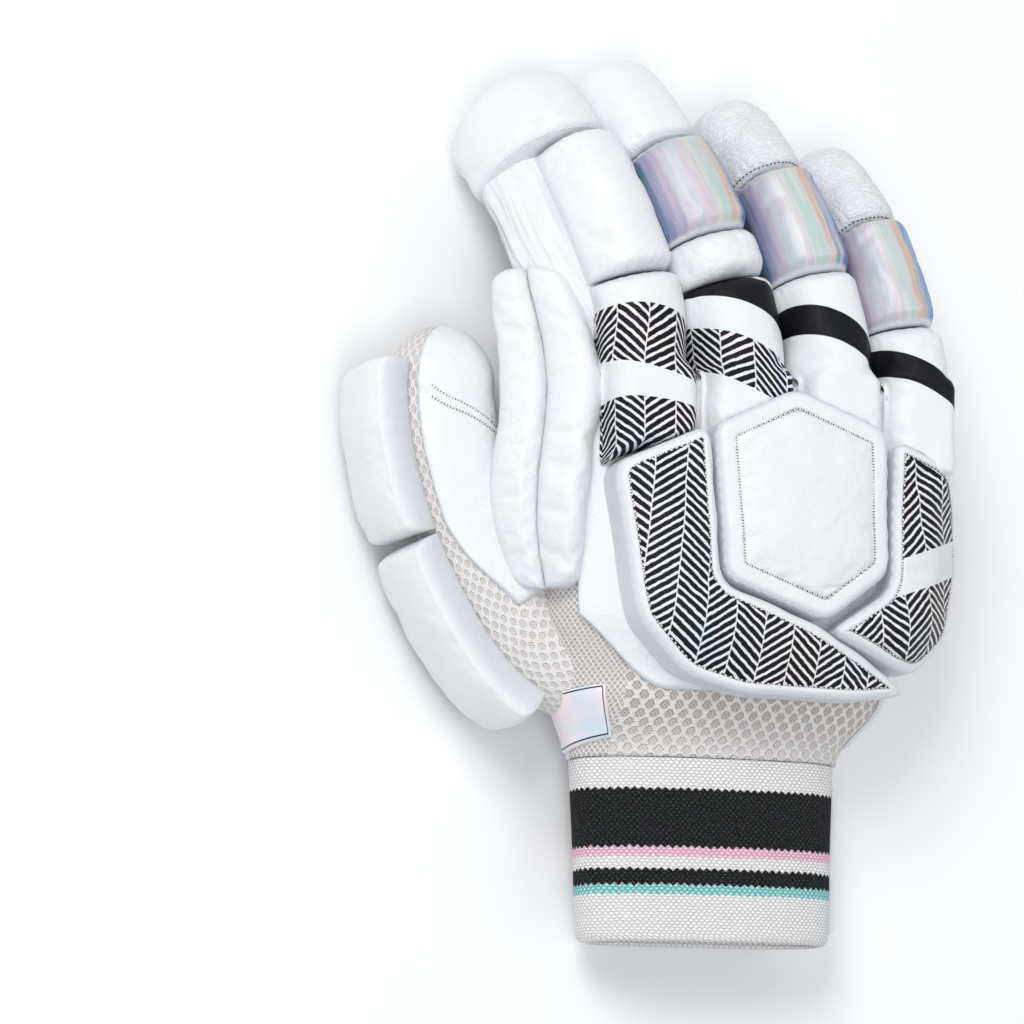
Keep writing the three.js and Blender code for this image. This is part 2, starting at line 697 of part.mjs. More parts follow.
// Side bolster: two padded strips along the flank, with a seam between them
const bolsterTable = [
  { along: 0.44, out: 0.35, up: 0.97, wide: 0.6 },
  { along: 0.52, out: 0.5, up: 1.02, wide: 0.92 },
  { along: 0.72, out: 0.6, up: 1.09, wide: 1 },
  { along: 0.92, out: 0.7, up: 1.11, wide: 1 },
  { along: 1.1, out: 0.95, up: 1.05, wide: 0.8 },
  { along: 1.28, out: 1.25, up: 0.98, wide: 0.3 },
];
const bolsterTilt = THREE.MathUtils.degToRad(46);
const bolsterSides = 10;
const bolsterPower = 2.4;
const bolsterStrip = (side) => {
  const angles = fullTurn(bolsterSides);
  const acrossSeam = side * (bolsterWidth / 4 + clearance / 2);
  const rings = bolsterTable.map((row) => {
    const y = wristY + row.along * palmLength;
    const oval = handOval(y);
    const x = oval.side - oval.halfWidth - row.out * bolsterThickness;
    const z = row.up * knuckleRise;
    return angles.map((angle) => {
      const thick = (bolsterThickness / 2) * superCos(angle, bolsterPower) * row.wide ** 0.5;
      const wide = ((bolsterWidth / 4) * superSin(angle, bolsterPower) + acrossSeam) * row.wide;
      return [
        x + thick * Math.cos(bolsterTilt) + wide * Math.sin(bolsterTilt),
        y,
        z - thick * Math.sin(bolsterTilt) + wide * Math.cos(bolsterTilt),
      ];
    });
  });
  return roundBody(capped(rings));
};
const faceClear = thumbSolid(2 * clearance + thumbLeather);
for (const [name, side] of [['bolster_outer', -1], ['bolster_inner', 1]]) {
  addPiece(name, carve(bolsterStrip(side), onBase, fingerClear(fingers[0]), faceClear), white);
}

// Crescent patch at the ball of the thumb, on the palm
const patchOutline = [
  { across: -0.74, along: 0.64 },
  { across: -0.46, along: 0.56 },
  { across: -0.3, along: 0.36 },
  { across: -0.32, along: 0.24 },
  { across: -0.46, along: 0.14 },
  { across: -0.6, along: 0.12 },
  { across: -0.66, along: 0.3 },
];
const patchCentre = plateSpot({ across: -0.5, along: 0.36 });
const patchSides = 20;
const patchCorner = 8;
const patchPath = roundedOutline(patchOutline.map(plateSpot), patchCorner);
const patchBorder = patchPath.getSpacedPoints(patchSides).slice(0, patchSides);
const patchRows = [
  { out: 0, down: 0 },
  { out: 0.5, down: 0 },
  { out: 1, down: 0 },
  { out: 1, down: 1 },
  { out: 0.5, down: 1 },
  { out: 0, down: 1 },
];
const patchBody = roundBody(patchRows.map((row) => patchBorder.map((point) => {
  const spot = patchCentre.clone().lerp(point, row.out);
  const surface = Math.max(backHeight(spot.x, spot.y, clearance, -1), restLevel - clearance);
  return [spot.x, spot.y, row.down ? surface - stripThickness : surface + sunk];
})));
addPiece('thumb_patch', carve(patchBody, handClear, thumbClear), white);

// Knitted wristband: a tube, a little narrower at its hem, flat where it rests
const bandTable = [
  { at: 0, narrow: 0.9, rounding: 1.1 },
  { at: 0.04, narrow: 0.93, rounding: 0.4 },
  { at: 0.12, narrow: 0.935, rounding: 0 },
  { at: 0.5, narrow: 0.95, rounding: 0 },
  { at: 1, narrow: 0.98, rounding: 0 },
];
const bandEnd = wristY - clearance;
const bandRing = (row, outset, angles) => {
  const y = bandEnd - bandLength * (1 - row.at);
  const oval = { ...handOvals.wrist, halfWidth: (wristWidth / 2) * row.narrow };
  return angles.map((angle) => onOval(oval, y, angle, outset));
};
const bandTurn = fullTurn(handSides);
const bandOuter = bandTable.map((row) => bandRing(row, -row.rounding, bandTurn));
const bandInner = bandTable.filter((_, i) => i !== 1).map((row) => bandRing(row, -bandWall, bandTurn));
addPiece('wristband', shellBody(bandOuter, bandInner), knit);

// Strap: sewn at the little finger side and wrapped under the band towards the thumb, with a chamfered tip
const strapTable = [
  { at: 0, narrow: 0.3 },
  { at: 0.08, narrow: 0.06 },
  { at: 0.3, narrow: 0 },
  { at: 0.7, narrow: 0 },
  { at: 0.92, narrow: 0.03 },
  { at: 1, narrow: 0.05 },
];
const strapPlace = 0.52; // middle of the strap, as a share of the band's length from the wrist seam
const strapMiddle = bandEnd - bandLength * strapPlace;
const strapTip = 1 - strapReach / (wristWidth / 2); // place of its tip, as a share of half the band's width
const strapTipTurn = Math.acos(Math.sign(strapTip) * Math.abs(strapTip) ** (handOvals.wrist.power / 2));
const strapAngles = arc(10, 360 - THREE.MathUtils.radToDeg(strapTipTurn), 366);
const strapSheet = (outset) => steps(4, -0.5, 0.5).map((share) => strapAngles.map((angle, i) => {
  const narrow = readTable(strapTable, 'narrow', i / (strapAngles.length - 1));
  const y = strapMiddle + share * strapWidth * (1 - narrow);
  const at = 1 - (bandEnd - y) / bandLength;
  return bandRing({ at, narrow: readTable(bandTable, 'narrow', at) }, outset, [angle])[0];
}));
addPiece('wrist_strap', slabBody(strapSheet(clearance + strapThickness), strapSheet(clearance)), white);

// The origin is the middle of the floor under the glove
const bounds = new THREE.Box3().setFromObject(glove);
const middle = bounds.getCenter(new THREE.Vector3());
glove.position.set(-middle.x, -middle.y, -bounds.min.z);

export default glove;
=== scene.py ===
import math
import bpy
import numpy as np
from mathutils import Matrix, Vector


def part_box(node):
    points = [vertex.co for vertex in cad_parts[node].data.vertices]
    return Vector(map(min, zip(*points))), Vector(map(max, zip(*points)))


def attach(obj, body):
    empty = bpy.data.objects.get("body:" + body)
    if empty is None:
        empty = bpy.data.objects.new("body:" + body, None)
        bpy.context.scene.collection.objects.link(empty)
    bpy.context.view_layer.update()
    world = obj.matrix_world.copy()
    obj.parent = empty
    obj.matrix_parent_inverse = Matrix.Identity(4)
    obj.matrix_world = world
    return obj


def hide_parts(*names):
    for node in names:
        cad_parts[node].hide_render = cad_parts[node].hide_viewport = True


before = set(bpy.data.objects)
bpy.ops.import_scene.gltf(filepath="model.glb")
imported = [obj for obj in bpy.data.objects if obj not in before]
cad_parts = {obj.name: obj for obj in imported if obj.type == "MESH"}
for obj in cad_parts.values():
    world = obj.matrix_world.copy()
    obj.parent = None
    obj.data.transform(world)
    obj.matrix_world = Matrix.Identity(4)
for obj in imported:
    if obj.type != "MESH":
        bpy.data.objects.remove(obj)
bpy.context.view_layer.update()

# A right-hand cricket batting glove. All shapes are worked out in millimetres in the pattern maker's
# layout (+Y to the fingertips, thumb at -X, back of the hand up) and moved into the frame at the end.
layout = {
    "clearance": 0.3, "wristY": -82.0, "palmLength": 121.0, "wristSide": 7.5, "palmSide": 10.5,
    "palmWidth": 135.0, "knuckleRise": 41.0, "restLevel": 2.3, "handWall": 2.6,
    "fingerPadWidth": 30.0, "fingerSpacing": 1.4, "sleeveHalfHeight": 12.5, "fingerWall": 2.0,
    "padSide": 1.6, "capThickness": 6.0, "plateLift": 2.6,
}
knuckleY = layout["wristY"] + layout["palmLength"]
bandLow, bandHigh = (np.array(corner) * 1000 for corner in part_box("wristband"))
shift = np.array([
    (bandLow[0] + bandHigh[0]) / 2 - layout["wristSide"],
    bandHigh[1] + layout["clearance"] - layout["wristY"],
    0.0,
])


# smooth step: 3t^2 - 2t^3 between 0 and 1
def smooth(t):
    t = np.clip(t, 0.0, 1.0)
    return t * t * (3 - 2 * t)


def mix(a, b, t):
    return a + (b - a) * t


# arrows of length 1
def unit(arrows):
    return arrows / np.maximum(np.linalg.norm(arrows, axis=-1, keepdims=True), 1e-9)


# distance walked along a path at each of its points
def walked(path):
    return np.concatenate([[0], np.cumsum(np.linalg.norm(np.diff(path, axis=0), axis=-1))])


# the path's points at given distances
def pointsAt(at, distances, path):
    return np.stack([np.interp(at, distances, column) for column in path.T], axis=-1)


# turns in degrees once round a tube
def ringTurns(count):
    return np.linspace(0, 360, count, endpoint=False)[None, :]


# signed power of a cosine or sine, which squares up an oval
def squared(wave, power):
    return np.sign(wave) * np.abs(wave) ** (2 / power)


def ovalWaves(degrees, power):
    turn = np.radians(degrees)
    return squared(np.cos(turn), power), squared(np.sin(turn), power)


# a quarter circle: 0 at the rim, 1 from the radius inwards
def rounded(distance, radius):
    t = np.clip(1 - distance / radius, 0.0, 1.0)
    return np.sqrt(np.maximum(1 - t * t, 0.0))


# places from start to end that crowd within a radius of both ends, as a circle's arc does
def crowded(start, end, radius, count, arcCount=7):
    turn = np.linspace(0, math.pi / 2, arcCount)
    rim = radius * (1 - np.cos(turn))
    middle = np.linspace(start + radius, end - radius, count)[1:-1]
    return np.concatenate([start + rim, middle, (end - rim)[::-1]])


# moves a grid of points outwards along its normals
def pushed(grid, push):
    return grid + gridNormals(grid) * push[..., None]


# soft bumps: a sum of sine waves in seeded directions, each octave half as long and half as high
def ripple(points, wave, seed, octaves=3):
    rng = np.random.default_rng(seed)
    total = np.zeros(points.shape[:-1])
    for octave in range(octaves):
        for _ in range(4):
            direction = rng.normal(size=3)
            direction *= 2 * math.pi * 2 ** octave / wave / np.linalg.norm(direction)
            total += np.sin(points @ direction + rng.uniform(0, 2 * math.pi)) / 2 ** octave
    return total / 4


# normals of a grid of points, from the cross product of its two directions
def gridNormals(grid):
    return unit(np.cross(np.gradient(grid, axis=1), np.gradient(grid, axis=0)))


# distance run along one axis of a grid, zero in its middle
def run(grid, axis):
    step = np.linalg.norm(np.diff(grid, axis=axis), axis=-1)
    pad = [(0, 0), (0, 0)]
    pad[axis] = (1, 0)
    length = np.cumsum(np.pad(step, pad), axis=axis)
    return length - np.take(length, [length.shape[axis] // 2], axis=axis)


# the hand: ovals across the arm (side, rise, half width, half height, power), blended between its
# stations wrist, ball of the thumb and knuckles
knuckleHalf = sum(w * layout["fingerPadWidth"] + layout["fingerSpacing"] for w in (1.12, 1.1, 1.0, 0.9)) / 2
handOvals = np.array([
    [layout["wristSide"], 18.3, 47.0, 18.5, 2.5],
    [layout["palmSide"], 33.324, 67.5, 23.5, 2.3],
    [18.0, 41.0, knuckleHalf, 17.1, 3.6],
])
handStations = np.array([0, 0.18, 0.4, 0.62, 0.84, 1])
handBlend = np.array([[1, 0, 0], [0.46, 0.54, 0], [0.1, 0.9, 0], [0, 1, 0], [0, 0.5, 0.5], [0, 0, 1]])


def handOval(y):
    at = np.clip((np.asarray(y, float) - layout["wristY"]) / layout["palmLength"], 0, 1)
    row = np.clip(np.searchsorted(handStations, at, side="right") - 1, 0, len(handStations) - 2)
    t = smooth((at - handStations[row]) / (handStations[row + 1] - handStations[row]))[..., None]
    blend = handBlend[row] * (1 - t) + handBlend[row + 1] * t
    return np.moveaxis(blend @ handOvals, -1, 0)


# x = side + (half width + outset) cos^(2/power), z likewise, pressed flat at the resting level
def handSurface(degrees, y, outset):
    side, rise, wide, tall, power = handOval(y)
    cos, sin = ovalWaves(degrees, power)
    x, z = side + (wide + outset) * cos, rise + (tall + outset) * sin
    return np.stack([x, y + 0 * x, np.maximum(z, layout["restLevel"] - outset)], axis=-1)


# height of the back of the hand over x, y; near its side it goes on down an even slope
def backHeight(x, y, outset, sign=1.0, archShare=0.94, slope=1.1):
    side, rise, wide, tall, power = handOval(y)
    wide, tall = wide + outset, tall + outset
    share = np.abs(x - side) / wide
    inside = np.minimum(share, archShare)
    arch = tall * (1 - inside ** power) ** (1 / power)
    return rise + sign * (arch - slope * (share - inside) * wide)


# turns in degrees at which the side seam crosses each ring, from the oval solved for the seam's height
def seamTurn(y, lift=0.0):
    side, rise, wide, tall, power = handOval(y)
    seam = mix(handOvals[0, 1], layout["knuckleRise"], (y - layout["wristY"]) / layout["palmLength"]) + lift
    share = np.clip((seam - rise) / tall, -0.95, 0.95)
    return np.degrees(np.arcsin(np.sign(share) * np.abs(share) ** (power / 2)))


fingerColumns = ("reach", "width", "tipWidth", "lean", "lift", "roll", "gusset", "capFrom")
fingerTable = {
    "index": (96, 1.12, 0.92, 0.27, 0, 17, 12.5, 0.735),
    "middle": (102, 1.1, 1, 0.3, 0.08, 8, 1.6, 0.7),
    "ring": (91, 1, 0.95, 0.22, 0.08, 0, 0, 0.695),
    "little": (77, 0.9, 0.86, 0.17, -0.12, -6, 0, 0.63),
}
fingers = {name: dict(zip(fingerColumns, row)) for name, row in fingerTable.items()}


def sleeveHalf(share):
    return share * layout["fingerPadWidth"] / 2 - layout["padSide"] - layout["clearance"]


# the middle line of a finger leans as along^1.3 and droops as along^2.6
def fingerCentre(finger, y):
    along = np.maximum((y - knuckleY) / finger["reach"], 0)
    root = layout["knuckleRise"] + finger["lift"] * layout["sleeveHalfHeight"]
    x = finger["rootX"] - finger["lean"] * finger["reach"] * along ** 1.3
    z = root - (root - finger["tipHeight"]) * along ** 2.6
    return np.stack([x, y + 0 * x, z], axis=-1)


# level direction to the right of a heading
def rightOf(forward):
    return unit(np.stack([forward[..., 1], -forward[..., 0], 0 * forward[..., 0]], axis=-1))


# one ring for each y: the oval's two half axes grown by the given amounts, square to the finger and
# rolled with it; the side wall's bulge sags towards the palm
def fingerSurface(finger, degrees, y, side=0.0, up=0.0, down=0.0, gusset=1.0, scale=1.0, power=2.4):
    bend = smooth((y - knuckleY) / (0.3 * finger["reach"]))[..., None]
    ahead = fingerCentre(finger, y + 0.5) - fingerCentre(finger, y - 0.5)
    forward = unit(np.array([0, 1, 0]) * (1 - bend) + unit(ahead) * bend)
    level = rightOf(forward)
    roll = np.radians(finger["roll"]) * bend
    right = level * np.cos(roll) + np.cross(forward, level) * np.sin(roll)
    upward = np.cross(right, forward)
    along = np.maximum((y - knuckleY) / finger["reach"], 0)
    half = mix(sleeveHalf(finger["width"]), sleeveHalf(finger["tipWidth"]), smooth(along))
    bulge = finger["gusset"] * smooth(along / 0.5)
    cos, sin = ovalWaves(degrees, power)
    wide = half + side + np.where(cos < 0, bulge * gusset, 0)
    tall = layout["sleeveHalfHeight"] + np.where(sin < 0, down, up)
    sag = 0.5 * bulge * np.minimum(cos, 0) ** 2
    moveX, moveZ = scale * wide * cos, scale * (tall * sin - sag)
    return fingerCentre(finger, y) + right * moveX[..., None] + upward * moveZ[..., None]


# rows of a rounded end: straight until one half width before the end, then a quarter oval of the power
def domeRows(finger, start, end, count, arcCount=9, power=2.0):
    depth = sleeveHalf(finger["tipWidth"])
    turn = np.linspace(0, math.pi / 2, arcCount)[1:]
    along, scale = squared(np.sin(turn), power), squared(np.cos(turn), power)
    y = np.concatenate([np.linspace(start, end - depth, count), end - depth + depth * along])
    return y[:, None], np.concatenate([np.ones(count), scale])[:, None]


def settleFingers():
    edge = handOvals[2, 0] - knuckleHalf + layout["fingerSpacing"] / 2
    for finger in fingers.values():
        finger["rootX"] = edge + finger["width"] * layout["fingerPadWidth"] / 2
        edge += finger["width"] * layout["fingerPadWidth"] + layout["fingerSpacing"]
        finger["tipHeight"] = layout["sleeveHalfHeight"]
        y, scale = domeRows(finger, knuckleY + 0.7 * finger["reach"], knuckleY + finger["reach"], 6)
        turn = np.arange(0, 360, 30.0)[None, :]
        for _ in range(6):  # the finger is lowered until its cap touches the floor
            cap = fingerSurface(finger, turn, y, side=1.9, up=10.8, down=2.3, scale=scale)
            finger["tipHeight"] -= cap[..., 2].min()


settleFingers()


# centripetal curve through the thumb's stations, resampled by its own length
def thumbCurve():
    shares = np.array([
        [-0.12, 0.215, 0.56], [-0.38, 0.23, 0.56], [-0.578, 0.306, 0.56], [-0.752, 0.512, 0.55],
        [-0.859, 0.744, 0.53], [-0.898, 0.959, 0.5], [-0.859, 1.149, 0.45],
    ])
    scale = np.array([layout["palmWidth"] / 2 + 37, layout["palmLength"], layout["knuckleRise"]])
    points = shares * scale + np.array([layout["wristSide"], layout["wristY"], 0])
    ends = np.vstack([2 * points[0] - points[1], points, 2 * points[-1] - points[-2]])
    t = np.linspace(0, 1, 60, endpoint=False)[:, None]
    pieces = []
    for p0, p1, p2, p3 in zip(ends, ends[1:], ends[2:], ends[3:]):
        d0, d1, d2 = (np.linalg.norm(b - a) ** 0.5 for a, b in ((p0, p1), (p1, p2), (p2, p3)))
        m1 = ((p1 - p0) / d0 - (p2 - p0) / (d0 + d1) + (p2 - p1) / d1) * d1
        m2 = ((p2 - p1) / d1 - (p3 - p1) / (d1 + d2) + (p3 - p2) / d2) * d1
        pieces.append(
            p1 + m1 * t + (3 * (p2 - p1) - 2 * m1 - m2) * t ** 2 + (2 * (p1 - p2) + m1 + m2) * t ** 3
        )
    path = np.vstack(pieces + [points[-1:]])
    length = walked(path)
    return path, length / length[-1], length[-1]


thumbPath, thumbShares, thumbLength = thumbCurve()


def thumbPoint(share):
    return pointsAt(share, thumbShares, thumbPath)


thumbLook = {
    "half": 18.5, "tall": 14.5, "taper": 0.12, "mouth": 0.16, "faceFrom": 0.4, "faceTurns": (-58, 128),
    "seam": 0.714, "seamClimb": 0.236, "seamWidth": 1.0, "seamDepth": 0.9,
    "padTurns": (142, 212), "padThickness": 13.8, "padPower": 2.8,
}


# one ring for each share of the thumb's length; both half axes shrink towards the tip
def thumbSurface(degrees, share, grow=0.0, scale=1.0, power=2.4):
    centre = thumbPoint(share)
    forward = thumbPoint(np.minimum(share + 0.02, 1)) - thumbPoint(np.minimum(share + 0.02, 1) - 0.04)
    forward = unit(forward)
    right = rightOf(forward)
    upward = np.cross(right, forward)
    taper = 1 - thumbLook["taper"] * share
    cos, sin = ovalWaves(degrees, power)
    moveX = scale * (thumbLook["half"] * taper + grow) * cos
    moveZ = scale * (thumbLook["tall"] * taper + grow) * sin
    return centre + right * moveX[..., None] + upward * moveZ[..., None]


# faces of a grid of points; a wrapped direction joins its last row to its first
def gridFaces(rows, columns, wrapRows=False, wrapColumns=False):
    i = np.arange(rows if wrapRows else rows - 1)[:, None]
    j = np.arange(columns if wrapColumns else columns - 1)[None, :]
    near, far = (j % columns), ((j + 1) % columns)
    low, high = (i % rows) * columns, ((i + 1) % rows) * columns
    faces = np.stack(np.broadcast_arrays(low + near, low + far, high + far, high + near), axis=-1)
    return faces.reshape(-1, 4)


# puts points and faces into a mesh at the origin, faces outwards, with its pattern coordinates
def addMesh(name, points, faces, pattern, material, node=None, padded=None):
    mesh = bpy.data.meshes.new(name)
    metres = (np.asarray(points).reshape(-1, 3) + shift) / 1000
    mesh.from_pydata(metres.tolist(), [], faces)
    layer = mesh.attributes.new("pattern", "FLOAT_VECTOR", "POINT")
    layer.data.foreach_set("vector", np.asarray(pattern, np.float32).reshape(-1))
    mesh.materials.append(material)
    mesh.shade_smooth()
    mesh.validate()
    if signedVolume(mesh) < 0:
        mesh.flip_normals()
    piece = bpy.data.objects.new(name, mesh)
    bpy.context.scene.collection.objects.link(piece)
    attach(piece, "root")
    if node:
        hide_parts(node)
    return piece


# sum of the tetrahedra from the origin to each triangle
def signedVolume(mesh):
    mesh.calc_loop_triangles()
    corners = np.empty(len(mesh.loop_triangles) * 3, np.int32)
    mesh.loop_triangles.foreach_get("vertices", corners)
    places = np.empty(len(mesh.vertices) * 3)
    mesh.vertices.foreach_get("co", places)
    a, b, c = places.reshape(-1, 3)[corners.reshape(-1, 3)].transpose(1, 0, 2)
    return float(np.einsum("ij,ij->i", a, np.cross(b, c)).sum())


paddedSheets = []


# keeps padded leather for the cloth simulation: its fine grid, its outward arrows, the points sewn down,
# and whether its columns close into a ring
def keepForCloth(piece, grid, away, sewn, closed=True):
    if sewn is not None:
        paddedSheets.append((piece, grid, away, np.broadcast_to(sewn, grid.shape[:2]), closed))
    return piece


def fromMiddle(rings):
    return rings - rings.mean(axis=1, keepdims=True)


# two sheets of the same grid joined round their four edges into one closed body
def slab(name, outer, inner, edge, material, flow=None, sewn=None, **more):
    rows, columns = outer.shape[:2]
    count = rows * columns
    top = gridFaces(rows, columns)
    border = np.concatenate([
        np.arange(columns),
        np.arange(1, rows) * columns + columns - 1,
        (rows - 1) * columns + np.arange(columns - 2, -1, -1),
        np.arange(rows - 2, 0, -1) * columns,
    ])
    after = np.roll(border, -1)
    rim = np.stack([border, border + count, after + count, after], axis=-1)
    faces = np.vstack([top, top[:, ::-1] + count, rim]).tolist()
    u, v = flow or (run(outer, 1), run(outer, 0))
    pattern = np.stack([u + 0 * v, v + 0 * u, edge + 0 * u + 0 * v], axis=-1)
    points = np.concatenate([outer.reshape(-1, 3), inner.reshape(-1, 3)])
    piece = addMesh(name, points, faces, np.concatenate([pattern, pattern]), material, **more)
    return keepForCloth(piece, outer, outer - inner, sewn, closed=False)


# a skin round a hollow: outer rings and inner rings meet at the first and at the last ring
def shell(name, outer, inner, edge, material, flow=None, sewn=None, **more):
    rings = np.concatenate([outer, inner[::-1]])
    rows, columns = rings.shape[:2]
    faces = gridFaces(rows, columns, wrapRows=True, wrapColumns=True).tolist()
    pattern = np.stack([run(rings, 1), run(rings, 0), 0 * rings[..., 0]], axis=-1)
    pattern[: len(outer), :, 2] = edge
    if flow:
        pattern[: len(outer), :, 0], pattern[: len(outer), :, 1] = flow
    piece = addMesh(name, rings, faces, pattern, material, **more)
    return keepForCloth(piece, outer, fromMiddle(outer), sewn)


# rings whose ends are closed by a point each
def closedTube(name, rings, edge, material, sewn=None, **more):
    rows, columns = rings.shape[:2]
    faces = gridFaces(rows, columns, wrapColumns=True).tolist()
    start, end = rows * columns, rows * columns + 1
    j = np.arange(columns)
    k = (j + 1) % columns
    faces += np.stack([np.full(columns, start), k, j], axis=-1).tolist()
    last = (rows - 1) * columns
    faces += np.stack([np.full(columns, end), last + j, last + k], axis=-1).tolist()
    pattern = np.stack([run(rings, 1), run(rings, 0), edge + 0 * rings[..., 0]], axis=-1).reshape(-1, 3)
    pattern = np.vstack([pattern, pattern[0], pattern[-1]])
    points = np.vstack([rings.reshape(-1, 3), rings[0].mean(axis=0), rings[-1].mean(axis=0)])
    piece = addMesh(name, points, faces, pattern, material, **more)
    return keepForCloth(piece, rings, fromMiddle(rings), sewn)


clothLook = {
    "enlarge": 10.0, "frames": 20, "spacing": 2.0, "narrowest": 10.0, "pressure": 2.0, "slack": -0.07,
    "limit": 1.1, "sideways": 0.5, "lowest": 0.00002, "tension": 15.0, "compression": 10.0, "shear": 5.0,
    "bending": 0.08,
    "mass": 0.3, "quality": 5,
}


# rows or columns of a grid that lie about one spacing apart, in the order that they have in it
def coarsePicks(grid, axis):
    step = np.linalg.norm(np.diff(grid, axis=axis), axis=-1).mean(axis=1 - axis)
    length = np.concatenate([[0], np.cumsum(step)])
    count = max(int(length[-1] / clothLook["spacing"]), 4)
    return np.unique(np.abs(length[:, None] - np.linspace(0, length[-1], count)).argmin(axis=0))


# rows wide enough to carry the coarse cloth, which can't narrow to a point
def wideRows(grid, closed):
    spread = np.linalg.norm(grid - grid[:, :1], axis=-1)
    width = spread.max(axis=1) if closed else spread[:, -1]
    wide = np.flatnonzero(width > clothLook["narrowest"])
    return wide[0], wide[-1] + 1


# share of each coarse place in each fine place of one axis; a closed axis comes round to its first place
def fineShares(picks, count, closed):
    places = np.append(picks, count + picks[0]) if closed else picks
    shares = np.stack([np.interp(np.arange(count), places, row) for row in np.eye(len(places))], axis=1)
    if closed:
        shares[:, 0] += shares[:, -1]
        shares = shares[:, :-1]
    return shares


# one cloth for all the pads: sewn points stay, air pressure and a cut slightly too large puff the leather
# and pucker it at its seams; then each fine surface takes over the coarse cloth's move
def simulatePads():
    look = clothLook
    points, faces, held, parts = [], [], [], []
    base = 0
    for piece, grid, away, sewn, closed in paddedSheets:
        first, last = wideRows(grid, closed)
        rows, columns = first + coarsePicks(grid[first: last], 0), coarsePicks(grid[first: last], 1)
        part = grid[np.ix_(rows, columns)]
        fixed = sewn[np.ix_(rows, columns)].copy()
        fixed[[0, -1]] = True
        quads = gridFaces(len(rows), len(columns), wrapColumns=closed)
        sample = part.reshape(-1, 3)[quads]
        facing = np.cross(sample[:, 1] - sample[:, 0], sample[:, 3] - sample[:, 0])
        toward = away[np.ix_(rows, columns)].reshape(-1, 3)[quads[:, 0]]
        if np.sum(facing * toward) < 0:
            quads = quads[:, ::-1]
        held.append(base + np.flatnonzero(fixed.reshape(-1)))
        points.append(part.reshape(-1, 3))
        faces.append(quads + base)
        parts.append((piece, grid.shape, rows, columns, closed, base))
        base += len(rows) * len(columns)
    rest = np.vstack(points) * look["enlarge"] / 1000
    mesh = bpy.data.meshes.new("pad cloth")
    mesh.from_pydata(rest.tolist(), [], np.vstack(faces).tolist())
    cloth = bpy.data.objects.new("pad cloth", mesh)
    bpy.context.scene.collection.objects.link(cloth)
    cloth.vertex_groups.new(name="sewn").add(np.concatenate(held).tolist(), 1.0, "REPLACE")
    modifier = cloth.modifiers.new("cloth", "CLOTH")
    settings = modifier.settings
    settings.quality, settings.mass = look["quality"], look["mass"]
    settings.tension_stiffness, settings.compression_stiffness = look["tension"], look["compression"]
    settings.shear_stiffness, settings.bending_stiffness = look["shear"], look["bending"]
    settings.vertex_group_mass = "sewn"
    settings.use_pressure, settings.uniform_pressure_force = True, look["pressure"]
    settings.shrink_min = look["slack"]
    settings.effector_weights.gravity = 0
    modifier.collision_settings.use_collision = False
    for frameNumber in range(1, look["frames"] + 1):
        bpy.context.scene.frame_set(frameNumber)
    result = cloth.evaluated_get(bpy.context.evaluated_depsgraph_get()).to_mesh()
    moved = np.empty(len(rest) * 3, np.float32)
    result.vertices.foreach_get("co", moved)
    move = (moved.reshape(-1, 3) - rest) * 1000 / look["enlarge"]
    length = np.linalg.norm(move, axis=1, keepdims=True)
    print("cloth points", len(rest), "mean move", round(float(length.mean()), 3))
    move *= look["limit"] * np.tanh(length / look["limit"]) / np.maximum(length, 1e-9)
    move[:, :2] *= look["sideways"]  # pads stay clear of the next finger's
    bpy.data.objects.remove(cloth)
    bpy.context.scene.frame_set(1)
    for piece, shape, rows, columns, closed, start in parts:
        part = move[start: start + len(rows) * len(columns)].reshape(len(rows), len(columns), 3)
        fine = np.einsum(
            "ar,rcx,bc->abx", fineShares(rows, shape[0], False), part, fineShares(columns, shape[1], closed)
        )
        wide = np.pad(fine, ((1, 1), (0, 0), (0, 0)), mode="edge")
        fine = (wide[:-2] + 2 * wide[1:-1] + wide[2:]) / 4
        wide = np.pad(fine, ((0, 0), (1, 1), (0, 0)), mode="wrap" if closed else "edge")
        fine = (wide[:, :-2] + 2 * wide[:, 1:-1] + wide[:, 2:]) / 4
        places = np.empty(len(piece.data.vertices) * 3)
        piece.data.vertices.foreach_get("co", places)
        places = places.reshape(-1, 3)
        places[: shape[0] * shape[1]] += fine.reshape(-1, 3) / 1000
        places[:, 2] = np.maximum(places[:, 2], look["lowest"])
        piece.data.vertices.foreach_set("co", places.reshape(-1))
        piece.data.update()


# stitches: short fat threads laid along paths, each a small six-sided spindle sunk a little in the skin
stitchPaths = {}


def sewLine(group, path, normals, pitch=2.2, length=1.6, radius=0.26):
    along = walked(path)
    count = max(int(along[-1] / pitch), 1)
    at = (np.arange(count) + 0.5) * along[-1] / count
    forward = pointsAt(at + 0.4, along, path) - pointsAt(at - 0.4, along, path)
    place, normal = pointsAt(at, along, path), pointsAt(at, along, normals)
    stitchPaths.setdefault(group, []).append((place, forward, normal, length, radius))


